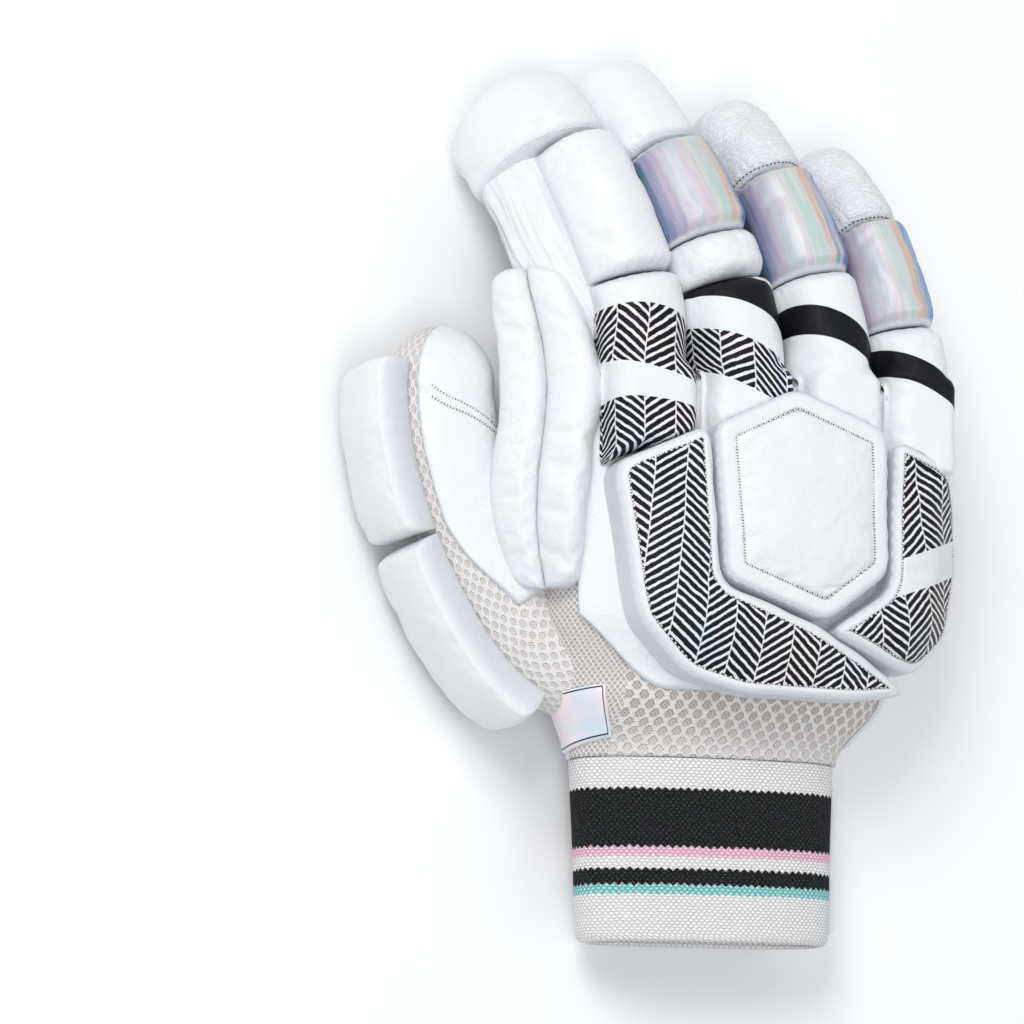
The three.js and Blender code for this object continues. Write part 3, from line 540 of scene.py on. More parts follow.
def stitchMesh(name, group, material):
    turn = np.arange(6)[:, None] * math.pi / 3
    reach = np.array([-0.5, -0.36, 0.0, 0.36, 0.5])[:, None, None]
    width = np.array([0.25, 0.8, 1.0, 0.8, 0.25])[:, None, None]
    one = gridFaces(5, 6, wrapColumns=True)
    points, faces = [], []
    base = 0
    for place, forward, normal, length, radius in stitchPaths[group]:
        forward = unit(forward)
        normal = unit(normal - forward * np.einsum("ij,ij->i", normal, forward)[:, None])
        arrows = (forward, np.cross(forward, normal), normal)
        forward, side, normal = (arrow[:, None, None] for arrow in arrows)
        ring = (side * np.cos(turn) + normal * np.sin(turn)) * radius * width
        sunk = normal * radius * (0.9 - 2.2 * reach ** 2)
        spindle = place[:, None, None] + forward * reach * length + ring + sunk
        ends = [[5, 4, 3, 2, 1, 0], [24, 25, 26, 27, 28, 29]]
        offsets = base + np.arange(len(place)) * 30
        faces += (one[None] + offsets[:, None, None]).reshape(-1, 4).tolist()
        for end in ends:
            faces += (np.array(end)[None] + offsets[:, None]).tolist()
        points.append(spindle.reshape(-1, 3))
        base += len(place) * 30
    points = np.vstack(points)
    return addMesh(name, points, faces, points, material)


print("materials")


skinNames = {
    "colour": "Base Color", "roughness": "Roughness", "shine": "Specular IOR Level", "metal": "Metallic",
    "coat": "Coat Weight", "coatRoughness": "Coat Roughness",
}


# what a shader node gives out; its sums and products add math nodes
class Signal:
    def __init__(self, shader, socket):
        self.shader, self.socket = shader, socket

    def __add__(self, other):
        return self.shader.math("ADD", self, other)

    def __sub__(self, other):
        return self.shader.math("SUBTRACT", self, other)

    def __rsub__(self, other):
        return self.shader.math("SUBTRACT", other, self)

    def __mul__(self, other):
        return self.shader.math("MULTIPLY", self, other)

    def __truediv__(self, other):
        return self.shader.math("DIVIDE", self, other)

    def __abs__(self):
        return self.shader.math("ABSOLUTE", self)

    __radd__, __rmul__ = __add__, __mul__


# shorthand for shader nodes: a value is a number, a colour or a signal
class Shader:
    def __init__(self, name, slot):
        self.material = bpy.data.materials.new(name)
        self.material.use_nodes = True
        self.material["slot"] = slot
        self.tree = self.material.node_tree
        self.skin = self.tree.nodes["Principled BSDF"]

    def add(self, kind, output=0, inputs=None, **settings):
        node = self.tree.nodes.new(kind)
        for key, value in settings.items():
            setattr(node, key, value)
        for key, value in (inputs or {}).items():
            self.put(node.inputs[key], value)
        return Signal(self, node.outputs[output])

    def put(self, socket, value):
        if isinstance(value, Signal):
            self.tree.links.new(value.socket, socket)
        else:
            socket.default_value = value

    def math(self, operation, a, b=0.0, c=0.0):
        return self.add("ShaderNodeMath", inputs={0: a, 1: b, 2: c}, operation=operation)

    def step(self, value, low, high):
        inputs = {0: value, 1: low, 2: high, 3: 0.0, 4: 1.0}
        return self.add("ShaderNodeMapRange", inputs=inputs, interpolation_type="SMOOTHSTEP")

    def cells(self, scale, feature, vector=None):
        inputs = {"Vector": vector or self.place, "Scale": scale}
        return self.add("ShaderNodeTexVoronoi", inputs=inputs, feature=feature)

    def blend(self, share, a, b):
        return self.add("ShaderNodeMix", output=2, inputs={0: share, 6: a, 7: b}, data_type="RGBA")

    def vector(self, x, y, z):
        return self.add("ShaderNodeCombineXYZ", inputs={0: x, 1: y, 2: z})

    def ramp(self, value, stops):
        node = self.tree.nodes.new("ShaderNodeValToRGB")
        elements = node.color_ramp.elements
        for element, (position, tone) in zip(elements, (stops[0], stops[-1])):
            element.position, element.color = position, (*tone, 1)
        for position, tone in stops[1:-1]:
            elements.new(position).color = (*tone, 1)
        self.put(node.inputs[0], value)
        return Signal(self, node.outputs[0])

    def noise(self, scale, detail=3.0, rough=0.55, vector=None, **more):
        inputs = {"Vector": vector or self.place, "Scale": scale, "Detail": detail, "Roughness": rough}
        return self.add("ShaderNodeTexNoise", inputs={**inputs, **more})

    @property
    def place(self):
        return self.add("ShaderNodeTexCoord", output="Object")

    @property
    def pattern(self):
        split = self.tree.nodes.new("ShaderNodeSeparateXYZ")
        self.put(split.inputs[0], self.add("ShaderNodeAttribute", output="Vector", attribute_name="pattern"))
        return [Signal(self, socket) for socket in split.outputs]

    # height goes to the bump, in millimetres
    def finish(self, colour, roughness, height=None, bump=1.0, **more):
        for key, value in {"colour": colour, "roughness": roughness, **more}.items():
            self.put(self.skin.inputs[skinNames[key]], value)
        if height is not None:
            inputs = {"Height": height, "Strength": bump, "Distance": 0.001}
            self.put(self.skin.inputs["Normal"], self.add("ShaderNodeBump", output="Normal", inputs=inputs))
        return self.material


# 1 between two values of a coordinate
def band(shader, value, low, high, soft=0.12):
    rise = shader.step(value, low - soft, low + soft)
    fall = shader.step(value, high + soft, high - soft)
    return rise * fall


# crease: a grey used for the grain's darker tone and as painted shade at seams, in creases and in folds
leatherLook = {
    "white": (0.84, 0.85, 0.865, 1), "crease": (0.60, 0.62, 0.67, 1), "black": (0.006, 0.0065, 0.008, 1),
    # hole: painted shade inside the punched holes
    "hole": (0.02, 0.02, 0.022, 1),
    "pastels": [(0.25, (0.62, 0.86, 0.90)), (0.42, (0.80, 0.80, 0.92)), (0.5, (0.84, 0.84, 0.86)),
                (0.58, (0.92, 0.78, 0.84)), (0.75, (0.90, 0.88, 0.70))],
    "grainScale": 1300, "wrinkleScale": 130,
}


# fine pebble grain, soft wrinkles, a little grey in the creases of the grain and painted shade (grey) at the
# seams; colour and height
def leatherBase(shader, wrinkle=0.35, grain=0.1):
    grains = shader.cells(leatherLook["grainScale"], "F1")
    folds = shader.noise(leatherLook["wrinkleScale"], detail=4.0, rough=0.45, Distortion=0.8)
    height = folds * wrinkle + grains * grain
    colour = shader.blend(grains * 0.1, leatherLook["white"], leatherLook["crease"])
    # painted shade: within 2.2 mm of a seam or edge the leather turns up to halfway grey
    edge = shader.step(shader.pattern[2], 0.0, 2.2)
    colour = shader.blend(edge * 0.5 + 0.5, leatherLook["crease"], colour)
    return colour, height


def leather(name, slot, wrinkle=0.55, grain=0.1, roughness=0.42):
    shader = Shader(name, slot)
    colour, height = leatherBase(shader, wrinkle, grain)
    return shader.finish(colour, roughness, height, coat=0.06, coatRoughness=0.3)


# leather drawn in to short creases that run across the finger: long cells, warped, with painted shade (grey)
# in their valleys
def creasedLeather(name, slot):
    shader = Shader(name, slot)
    colour, height = leatherBase(shader, 0.3, 0.12)
    u, v, _ = shader.pattern
    warp = shader.noise(75.0, detail=2.0)
    for size, depth, tone in ((0.8, 0.2, 0.24), (0.4, 0.1, 0.12)):
        vector = shader.vector(warp * 2.0 + u * 0.22, warp * 5.0 + v * 0.8, size)
        cell = shader.cells(1.0 / size, "DISTANCE_TO_EDGE", vector)
        ridge = shader.step(cell, 0.0, 0.24)
        height = ridge * depth + height
        # painted shade: the valleys between the cells are tinted grey
        valley = (1.0 - shader.step(cell, 0.0, 0.12)) * tone
        colour = shader.blend(valley, colour, leatherLook["crease"])
    return shader.finish(colour, 0.5, height, 0.9)


# soft leather with rows of punched holes: three staggered columns; the holes are near-black, painted shade
# inside them
def perforatedLeather(name, slot, column, pitch, radius):
    shader = Shader(name, slot)
    colour, height = leatherBase(shader, 0.5, 0.08)
    u, v, _ = shader.pattern
    distance = latticeDistance(shader, u, v, column * 2, pitch / 2, 1.0)
    inner = shader.step(abs(u), column * 1.6, column * 1.4)
    hole = shader.step(distance, radius, radius * 0.7) * inner
    # painted shade: the holes get the near-black hole colour
    colour = shader.blend(hole, colour, leatherLook["hole"])
    height = hole * -0.6 + height
    return shader.finish(colour, 0.45, height, 0.6)


# herringbone: columns of slanted bars that lean left and right in turn, every second one half a step on;
# the bars' edges waver a little, as in a hand-cut print
def herringbone(shader, u, v, column=8.0, pitch=2.9, share=0.64):
    waver = shader.noise(420.0, detail=2.0) * 0.9 - 0.45
    strip = u / column
    fold = shader.math("PINGPONG", strip, 1.0)
    slant = fold * (column * 0.72) + (v + waver)
    half = shader.math("FRACT", shader.math("FLOOR", strip) * 0.5)
    bar = shader.math("FRACT", slant / pitch + half)
    edge = abs(bar - 0.5)
    ink = shader.step(edge, share / 2 + 0.04, share / 2 - 0.04)
    spine = abs(shader.math("FRACT", strip) - 0.5)
    gap = shader.step(spine, 0.497, 0.47)
    return ink * gap


# white ground of a print with a faint play of pastel tints
def pastelGround(shader, colour, strength=0.55, scale=38.0):
    tints = shader.ramp(shader.noise(scale, detail=1.0), leatherLook["pastels"])
    return shader.blend(strength, colour, tints)


# leather with bands across it: each is (kind, low, high, slant) in millimetres from the piece's middle;
# an arch lowers a band to both sides of the finger
def bandedLeather(name, slot, bands, arch=0.006):
    shader = Shader(name, slot)
    colour, height = leatherBase(shader, 0.25, 0.08)
    u, v, _ = shader.pattern
    drop = u * u * arch
    for kind, low, high, slant in bands:
        place = u * slant + v + drop
        mask = band(shader, place, low, high)
        if kind == "herringbone":
            colour = shader.blend(mask, colour, pastelGround(shader, colour))
            mask *= herringbone(shader, u, place, 11.0)
        colour = shader.blend(mask, colour, leatherLook["black"])
        height = mask * 0.05 + height
    return shader.finish(colour, 0.52, height, 0.8, shine=0.2)


meshLook = {
    "thread": (0.87, 0.845, 0.83, 1), "hole": (0.60, 0.55, 0.51, 1), "deep": (0.38, 0.34, 0.31, 1),
    "pitch": 4.9, "row": 2.75, "size": 1.5, "fade": (-66.0, -84.0),
    "porePitch": 1.9, "poreRow": 1.15, "poreSize": (0.6, 0.35), "poresFrom": (37.5, 38.5),
}


# distance to the nearest centre of a staggered lattice, by folding the plane twice; hexagons measure it
# as the larger of |y| and |x| 0.87 + |y| / 2
def latticeDistance(shader, u, v, pitch, row, squeeze=0.8, hexagons=False):
    def cell(value, period, offset):
        moved = value / period + offset
        return (shader.math("FRACT", moved) - 0.5) * period

    distances = []
    for offset in (0.0, 0.5):
        x, y = cell(u, pitch, offset) * squeeze, cell(v, row * 2, offset)
        if hexagons:
            x, y = abs(x), abs(y)
            distances.append(shader.math("MAXIMUM", y, x * 0.87 + y * 0.5))
        else:
            distances.append(shader.math("SQRT", x * x + y * y))
    return shader.math("MINIMUM", *distances)


# open mesh: staggered holes, each crossed by a finer net; the threads stand proud; the holes show the backing
# with painted shade in them, darkest at the net's deep cores
def airMesh(name, slot, scale=1.0, holeTone=1.0, squeeze=0.95, fading=False, leatherSide=None):
    shader = Shader(name, slot)
    u, v, _ = shader.pattern
    look = meshLook
    across, place = u, v
    sway = shader.noise(90.0, detail=1.0) * (1.6 * scale) - 0.8 * scale
    u, v = u + sway, v + sway
    size = look["size"] * scale
    distance = latticeDistance(shader, u, v, look["pitch"] * scale, look["row"] * scale, squeeze, True)
    ragged = shader.noise(900.0, detail=1.0) * (0.7 * scale) + distance
    solid = shader.step(ragged, size * 0.9, size * 1.35)
    net = latticeDistance(shader, u, v, look["pitch"] * scale / 4, look["row"] * scale / 4, 1.0)
    deep = shader.step(net, size * 0.3, size * 0.12)
    weave = shader.noise(2400.0, detail=1.0)
    # the hole tones are partly the backing's colour and partly painted shade; the deep cores get the darkest
    # painted shade
    hole = tuple(mix(look["thread"][k], look["hole"][k], holeTone) for k in range(3)) + (1,)
    core = tuple(mix(look["thread"][k], look["deep"][k], holeTone) for k in range(3)) + (1,)
    inside = shader.blend(deep, hole, core)
    if fading:
        inside = shader.blend(shader.step(place, *look["fade"]) * 0.7, inside, look["thread"])
        small = latticeDistance(shader, across, v, look["porePitch"], look["poreRow"], 1.0)
        pores = shader.step(small, *look["poreSize"])
        beside = shader.step(across, *look["poresFrom"])
        inside = shader.blend(beside, inside, hole)
        solid = beside * (1.0 - pores - solid) + solid
    colour = shader.blend(solid, inside, look["thread"])
    colour = shader.blend(weave * 0.25, colour, hole)
    height = weave * 0.15 + solid * (0.55 * scale)
    height = deep * (-0.2 * scale) + height
    if leatherSide:
        skin, grain = leatherBase(shader, 0.4, 0.08)
        folds = shader.noise(1.0, detail=2.0, vector=shader.vector(across * 0.24, v * 0.018, 3.0))
        # painted shade: grey along the leather side's folds, so that they read
        skin = shader.blend(shader.step(folds, 0.52, 0.36) * 0.5, skin, leatherLook["crease"])
        grain = folds * 3.0 + grain
        mask = band(shader, across, *leatherSide)
        colour = shader.blend(mask, colour, skin)
        height = mask * (grain - height) + height
    return shader.finish(colour, 0.8, height, 0.9)


knitLook = {
    "white": (0.93, 0.925, 0.92, 1), "black": (0.007, 0.007, 0.008, 1), "pink": (0.84, 0.36, 0.52, 1),
    "teal": (0.03, 0.50, 0.48, 1), "gap": (0.70, 0.69, 0.68, 1), "fleck": (0.055, 0.06, 0.06, 1),
    "wale": 1.9, "course": 1.0, "tooth": 2.6, "swing": 1.0,
}


# knit: a brick pattern of small loops, wales across u and courses along v; stripes have toothed edges;
# painted shade (grey) fills the gaps between the loops
def knit(name, slot, stripes):
    shader = Shader(name, slot)
    u, v, _ = shader.pattern
    look = knitLook
    waver = shader.noise(260.0, detail=2.0) * 0.9 - 0.45
    su, sv = u + waver, v + waver
    loop = latticeDistance(shader, su, sv, look["wale"], look["course"], 0.75)
    raised = shader.step(loop, 0.72, 0.3)
    fuzz = shader.noise(2600.0, detail=2.0)
    height = fuzz * 0.2 + raised * 0.4
    # painted shade: the gaps between the raised loops are grey
    colour = shader.blend(raised, look["gap"], look["white"])
    dark = shader.blend(raised * shader.step(fuzz, 0.42, 0.6), look["black"], look["fleck"])
    tooth = shader.math("PINGPONG", u / (look["tooth"] / 2), 1.0)
    bent = tooth * look["swing"] + sv
    for tone, low, high in stripes:
        paint = dark if tone == "black" else shader.blend(raised * 0.5, look[tone], look["white"])
        colour = shader.blend(band(shader, bent, low, high, 0.2), colour, paint)
    return shader.finish(colour, 0.95, height, 0.9, shine=0.15)


foilLook = {
    "width": 54.0, "drift": 0.2, "streak": 0.3, "rim": (0.2, 1.4),
    "stops": [
        (0.0, (0.05, 0.10, 0.14)), (0.08, (0.11, 0.22, 0.29)), (0.14, (0.24, 0.29, 0.46)),
        (0.22, (0.44, 0.41, 0.55)), (0.30, (0.58, 0.50, 0.58)), (0.36, (0.50, 0.58, 0.62)),
        (0.42, (0.66, 0.57, 0.64)), (0.48, (0.68, 0.70, 0.66)), (0.53, (0.50, 0.65, 0.60)),
        (0.58, (0.64, 0.63, 0.68)), (0.63, (0.72, 0.50, 0.36)), (0.68, (0.28, 0.44, 0.66)),
        (0.74, (0.11, 0.22, 0.54)), (0.82, (0.17, 0.18, 0.38)), (0.90, (0.30, 0.26, 0.34)),
        (1.0, (0.22, 0.22, 0.26)),
    ],
}


# silver foil over leather: rainbow streaks along the finger, whose place across it drifts with slow noise
def foilLeather(name, slot, seed):
    shader = Shader(name, slot)
    u, v, edge = shader.pattern
    look = foilLook
    drift = shader.noise(1.0, detail=2.0, vector=shader.vector(u * 0.05, v * 0.045, seed)) - 0.5
    streak = shader.noise(1.0, detail=3.0, vector=shader.vector(u * 0.55, v * 0.03, seed + 5.0)) - 0.5
    place = u * (-1.0 / look["width"]) + 0.5 + drift * look["drift"] + streak * look["streak"]
    folds = shader.noise(140.0, detail=4.0, rough=0.5, Distortion=0.5)
    rim = shader.step(edge, *look["rim"])
    colour = shader.blend(rim, leatherLook["white"], shader.ramp(place, look["stops"]))
    return shader.finish(colour, 0.46, folds * 0.3, 0.5, metal=0.12)


whiteLeather = leather("white leather", "white_leather")
palmLeather = leather("soft palm leather", "white_leather", wrinkle=0.6, grain=0.08)
stripLeather = perforatedLeather(
    "perforated palm leather", "white_leather", column=5.4, pitch=9.0, radius=0.55
)
creased = creasedLeather("creased grained leather", "grained_leather")
strapLeather = leather("strap leather", "strap_leather", wrinkle=0.12, grain=0.05, roughness=0.34)
handMesh = airMesh("air mesh", "air_mesh", fading=True)
thumbMesh = airMesh("thumb mesh", "air_mesh", scale=0.8, holeTone=0.5, squeeze=1.4)
fineMesh = airMesh("fine mesh", "air_mesh", scale=0.5, holeTone=0.28)
indexMesh = airMesh(
    "fine mesh with a leather side", "air_mesh", scale=0.5, holeTone=0.28, leatherSide=(-30.0, 4.0)
)
threadMaterial = leather("thread", "white_leather", wrinkle=0.0, grain=0.2, roughness=0.7)
# dark spindles: dark thread on the creased caps, and painted shade of the needle holes along the plates' and
# thumb's seams
darkThreadAndHoleShade = Shader("dark thread and painted hole shade", "white_leather").finish((0.05, 0.055, 0.06, 1), 0.7)


print("hand")
handLook = {"rows": 110, "columns": 150}


# the shell of the hand between the seam's two turns, over the back or under the palm
def buildHand():
    y = np.linspace(layout["wristY"], knuckleY, handLook["rows"])[:, None]
    share = np.linspace(0, 1, handLook["columns"])[None, :]
    sides = (("hand_back_mesh", "hand_back", 1, handMesh), ("palm_panel", "palm_leather", -1, palmLeather))
    for name, node, sign, material in sides:
        start = seamTurn(y, 0.1 * sign)
        turn = mix(start, 180 - start, share) if sign > 0 else mix(start, -180 - start, share)
        outer = handSurface(turn, y, 0.0)
        inner = handSurface(turn, y, -layout["handWall"])
        if sign < 0:
            soft = smooth(np.minimum(share, 1 - share) / 0.1) * 0.5
            outer[..., 2] -= np.where(outer[..., 2] > 4, ripple(outer, 34, 5) * soft, 0)
        slab(name, outer, inner, 9.0, material, node=node, flow=(run(outer, 1), y))


buildHand()


print("finger sleeves and palm strips")
sleeveLook = {"columns": 72, "rows": 46, "flareLength": 11.0, "flareUp": 3, "flareDown": 4, "flarePower": 2.6}
stripLook = {"halfTurn": 62, "roundTop": 12, "thickness": 1.2, "bevel": 0.9, "seamShare": 0.87}


# tube from the hand to inside the cap; its root flares out to a box so that neighbours meet in a crotch
def buildSleeves():
    look = sleeveLook
    turn = ringTurns(look["columns"])
    for name, finger in fingers.items():
        end = knuckleY + finger["reach"] - layout["capThickness"] - layout["clearance"]
        grids = []
        for grow, reach in ((0.0, end), (-layout["fingerWall"], end - layout["fingerWall"])):
            y, scale = domeRows(finger, knuckleY + layout["clearance"], reach, look["rows"])
            flare = 1 - smooth((y - knuckleY) / look["flareLength"])
            wide = layout["padSide"] + layout["clearance"] + layout["fingerSpacing"] / 2 - 0.1
            ring = fingerSurface(
                finger, turn, y, side=grow + wide * flare, up=grow + look["flareUp"] * flare, gusset=1.1,
                down=grow + look["flareDown"] * flare, scale=scale, power=2.4 + look["flarePower"] * flare,
            )
            if grow == 0:
                soft = ripple(ring, 16, 11, 2) * 0.35 * (1 - flare)
                if name == "index":  # long folds in the leather of its side
                    side = smooth((np.abs(turn - 168) - 34) / -14)
                    folds = ripple(ring * np.array([1, 0.16, 1]), 8.5, 12, 2)
                    soft += folds * 0.9 * side * smooth((y - knuckleY) / 16)
                ring = pushed(ring, np.where(scale < 1, 0, soft))
            grids.append(ring)
        material = indexMesh if name == "index" else fineMesh
        y = domeRows(finger, knuckleY + layout["clearance"], end, look["rows"])[0]
        shell(f"{name}_sleeve_mesh", *grids, 9.0, material, node=f"{name}_sleeve", flow=(run(grids[0], 1), y))
        buildPalmStrip(name, finger)


# leather along the palm side of a finger, narrowing at its sewn round top
def buildPalmStrip(name, finger):
    look = stripLook
    stop = knuckleY + (finger["capFrom"] - 0.02) * finger["reach"]
    y = crowded(knuckleY + 0.6, stop, 4, 34)[:, None]
    across = np.linspace(-1, 1, 36)[None, :]
    intoTop = np.clip((y - stop + look["roundTop"]) / (look["roundTop"] + 1), 0, 1)
    top = np.sqrt(np.clip(1 - intoTop ** 2, 0.02, 1))
    turn = 270 + look["halfTurn"] * across * top
    depth = rounded(np.minimum((1 - np.abs(across)) * 11, stop - y + 0.2), look["bevel"])
    lift = layout["clearance"] + look["thickness"] * depth
    outer = fingerSurface(finger, turn, y, side=lift, down=lift)
    outer = pushed(outer, ripple(outer, 15, 21) * 0.25 * depth)
    inner = fingerSurface(finger, turn, y, side=0.25, down=0.25)
    edge = np.minimum((1 - np.abs(across)) * 12 * top, 9)
    slab(f"{name}_palm_leather", outer, inner, edge, stripLeather, node=f"{name}_palm_strip",
         flow=(run(outer, 1), y))
    for side in (-1, 1):
        seamTurns = 270 + side * look["halfTurn"] * look["seamShare"] * top[:, 0]
        path = fingerSurface(finger, seamTurns, y[:, 0], side=1.5, down=1.5)
        centre = fingerCentre(finger, y[:, 0])
        sewLine("white", path, path - centre)


buildSleeves()


print("fingertip caps")
capLook = {
    "index": dict(wrinkle=0.3, dome=2.35, material=whiteLeather),
    "middle": dict(wrinkle=0.25, dome=2.5, material=whiteLeather),
    "ring": dict(wrinkle=0.35, dome=2.5, material=creased),
    "little": dict(wrinkle=0.35, dome=2.5, material=creased),
}
capShape = {"above": 10.6, "below": 1.9, "side": 1.85, "rimRadius": 3.2, "pleats": 17, "sewnWidth": 2.2}


# dome over the fingertip: padded above, thin below, pleated under the tip; it rounds in at its sewn edge
def buildCaps():
    shape = capShape
    turn = ringTurns(132)
    wave = np.sin(np.radians(turn))
    for name, finger in fingers.items():
        look = capLook[name]
        start = knuckleY + finger["capFrom"] * finger["reach"] + 0.15
        y, scale = domeRows(finger, start, knuckleY + finger["reach"], 34, 18, look["dome"])
        fromSeam = y - start
        rim = rounded(fromSeam, shape["rimRadius"])
        ring = fingerSurface(finger, turn, y, side=0.35 + shape["side"] * rim, up=0.4 + shape["above"] * rim,
                             down=0.4 + shape["below"] * rim, scale=scale, power=2.5)
        flow = (run(ring, 1), fromSeam)
        pleats = np.abs(np.sin(np.radians(turn) * shape["pleats"])) * smooth(-wave * 1.6)
        pleats = pleats * smooth(1 - fromSeam / 16) * smooth(fromSeam / 1.5)
        sewn = np.sin(flow[0] * 1.9 + ripple(ring, 9, 7) * 2) * np.exp(-fromSeam / 3.2) * smooth(wave * 2)
        soft = ripple(ring, 15, 31 + len(name)) * look["wrinkle"] * scale ** 0.5
        ring = pushed(ring, soft + 0.7 * pleats + 0.28 * sewn * rim)
        ring[..., 2] = np.maximum(ring[..., 2], 0.02)
        y, scale = domeRows(finger, start, knuckleY + finger["reach"] - 6, 20, 10)
        inner = fingerSurface(finger, turn, y, side=0.3, up=0.3, down=0.3, scale=scale)
        shell(f"{name}_tip_leather", ring, inner, fromSeam + 0 * turn, look["material"],
              node=f"{name}_tip_cap", padded=0.7, flow=flow, sewn=fromSeam + 0 * turn < shape["sewnWidth"])
        row = int(np.argmin(np.abs(fromSeam[:, 0] - 1.2)))
        path = ring[row, 4:63]  # the columns over the back of the finger
        thread = "dark" if look["material"] is creased else "white"
        sewLine(thread, path, path - ring[row].mean(axis=0), pitch=1.5, length=1.05, radius=0.22)


buildCaps()


print("finger pads")
padLook = {
    "index_middle_pad": dict(finger="index", start=0.312, end=0.73, turn=150),
    "index_knuckle_pad": dict(
        finger="index", start=-0.24, end=0.302, turn=150, slant=-0.145, material="indexPrint"
    ),
    "middle_foil_pad": dict(finger="middle", start=0.432, end=0.695, material="foil"),
    "middle_joint_roll": dict(finger="middle", start=0.298, end=0.424),
    "middle_knuckle_pad": dict(finger="middle", start=-0.2, end=0.29, material="middlePrint"),
    "ring_foil_pad": dict(finger="ring", start=0.368, end=0.69, material="ringFoil"),
    "ring_knuckle_pad": dict(finger="ring", start=-0.2, end=0.36, material="ringBands"),
    "little_foil_pad": dict(finger="little", start=0.255, end=0.625, material="littleFoil"),
    "little_knuckle_pad": dict(finger="little", start=-0.38, end=0.245, material="littleBands"),
}
padMaterials = {
    "indexPrint": bandedLeather("index print", "patterned_leather", [
        ("herringbone", -3.5, 14.5, -0.3), ("herringbone", -33.0, -12.5, -0.15),
    ]),
    "middlePrint": bandedLeather("middle print", "patterned_leather", [
        ("solid", 17.0, 26.5, -0.42), ("herringbone", -9.0, 7.0, -0.42),
    ]),
    "ringBands": bandedLeather("ring bands", "striped_leather", [("solid", 5.5, 14.0, -0.42)], arch=0.012),
    "littleBands": bandedLeather(
        "little bands", "striped_leather", [("solid", 5.5, 14.5, -0.45)], arch=0.012
    ),
    "foil": foilLeather("rainbow foil", "foil", 1.3),
    "ringFoil": foilLeather("rainbow foil ring", "foil", 3.7),
    "littleFoil": foilLeather("rainbow foil little", "foil", 8.1),
}
padShape = {
    "endRadius": 3.8, "sideRadius": 2.0, "height": 13.5, "handRadius": 4.5, "join": 7.0, "sewnEnd": 2.2,
    "sewnSide": 1.2,
}


# saddle over a sleeve: the thickness rounds off at both sewn ends and both sides; behind the knuckles it
# becomes a cushion that lies on the hand, with its own rounded sides
def buildPads():
    shape = padShape
    for name, look in padLook.items():
        finger = fingers[look["finger"]]
        last = look.get("turn", 180)
        side = np.linspace(0, 9, 7)[:-1]
        turn = np.concatenate([side, np.linspace(9, last - 9, 84), last - side[::-1]])[None, :]
        first = look["start"] + look.get("slant", 0) * (turn / last - 0.5)
        start, end = knuckleY + first * finger["reach"], knuckleY + look["end"] * finger["reach"]
        length = end - start.min()
        shares = crowded(0, 1, shape["endRadius"] / length, max(int(length / 0.9), 12), 9)
        y = start + (end - start) * shares[:, None]
        fromEnd = np.minimum(y - start, end - y)
        fromSide = np.minimum(turn, last - turn) * 0.24
        rim = rounded(fromEnd, shape["endRadius"])
        cheek = rounded(fromSide, shape["sideRadius"])
        wide = 0.3 + layout["padSide"] * cheek * mix(0.35, 1, rim)
        tall = 0.3 + shape["height"] * mix(0.5, 1, rim) * mix(0.35, 1, cheek)
        outer = fingerSurface(finger, turn, y, side=wide, up=tall, gusset=0.25, power=2.75)
        inner = fingerSurface(finger, turn, y, side=0.3, up=0.3, gusset=0.25)
        if look["start"] < 0:
            level = backHeight(outer[..., 0], np.minimum(outer[..., 1], knuckleY), layout["plateLift"])
            ground = level + 0.3
            crown = outer[..., 2].max(axis=1, keepdims=True) - ground
            fromFlank = np.minimum(outer[..., 0] - outer[:, -1:, 0], outer[:, :1, 0] - outer[..., 0])
            flank = rounded(fromFlank, shape["handRadius"])
            cushion = ground + np.maximum(crown, 2.0) * flank * mix(0.45, 1, rim)
            onHand = smooth((knuckleY + shape["join"] - outer[..., 1]) / shape["join"])
            outer[..., 2] = np.maximum(mix(outer[..., 2], cushion, onHand), ground - (1 - onHand) * 40)
            inner[..., 2] = np.minimum(mix(inner[..., 2], np.maximum(inner[..., 2], ground - 0.3), onHand),
                                       outer[..., 2] - 0.1)
        pinch = np.sin(run(outer, 1) * 1.5 + 2.5 * ripple(outer, 11, 3)) * np.exp(-fromEnd / 3.0)
        soft = ripple(outer, 19, 41 + len(name)) * 0.25 * rim
        flow = (run(outer, 1), y - (knuckleY + (look["start"] + look["end"]) / 2 * finger["reach"]))
        outer = pushed(outer, (0.2 * pinch * rim + soft) * cheek)
        material = padMaterials.get(look.get("material"), whiteLeather)
        edge = np.minimum(fromEnd, fromSide * 1.5)
        slab(f"{name}_leather", outer, inner, edge, material, node=name, padded=0.85, flow=flow,
             sewn=(fromEnd < shape["sewnEnd"]) | (fromSide < shape["sewnSide"]))


buildPads()


print("plates on the back of the hand")
plateLook = {
    "centre_plate": dict(corner=5, groove=6.2, ends=[(0.11, 0.97), (0.29, 0.35)], outline=[
        (-0.31, 0.86), (0.11, 0.97), (0.6, 0.87), (0.64, 0.49), (0.29, 0.35), (-0.24, 0.455),
    ]),
    "thumb_side_plate": dict(corner=6, groove=3.2, ends=[(-0.565, 0.805), (0.86, 0.18)], outline=[
        (-0.79, 0.75), (-0.34, 0.86), (-0.27, 0.44), (0.26, 0.335), (0.86, 0.18), (0.5, 0.15),
        (-0.1, 0.155), (-0.4, 0.2), (-0.66, 0.34),
    ]),
    "little_side_plate": dict(corner=6, groove=3.2, ends=[(0.83, 0.82), (0.32, 0.325)], outline=[
        (0.65, 0.85), (1, 0.79), (1.16, 0.68), (1.2, 0.5), (1.12, 0.33), (0.92, 0.24), (0.75, 0.24),
        (0.32, 0.325), (0.67, 0.45),
    ]),
}
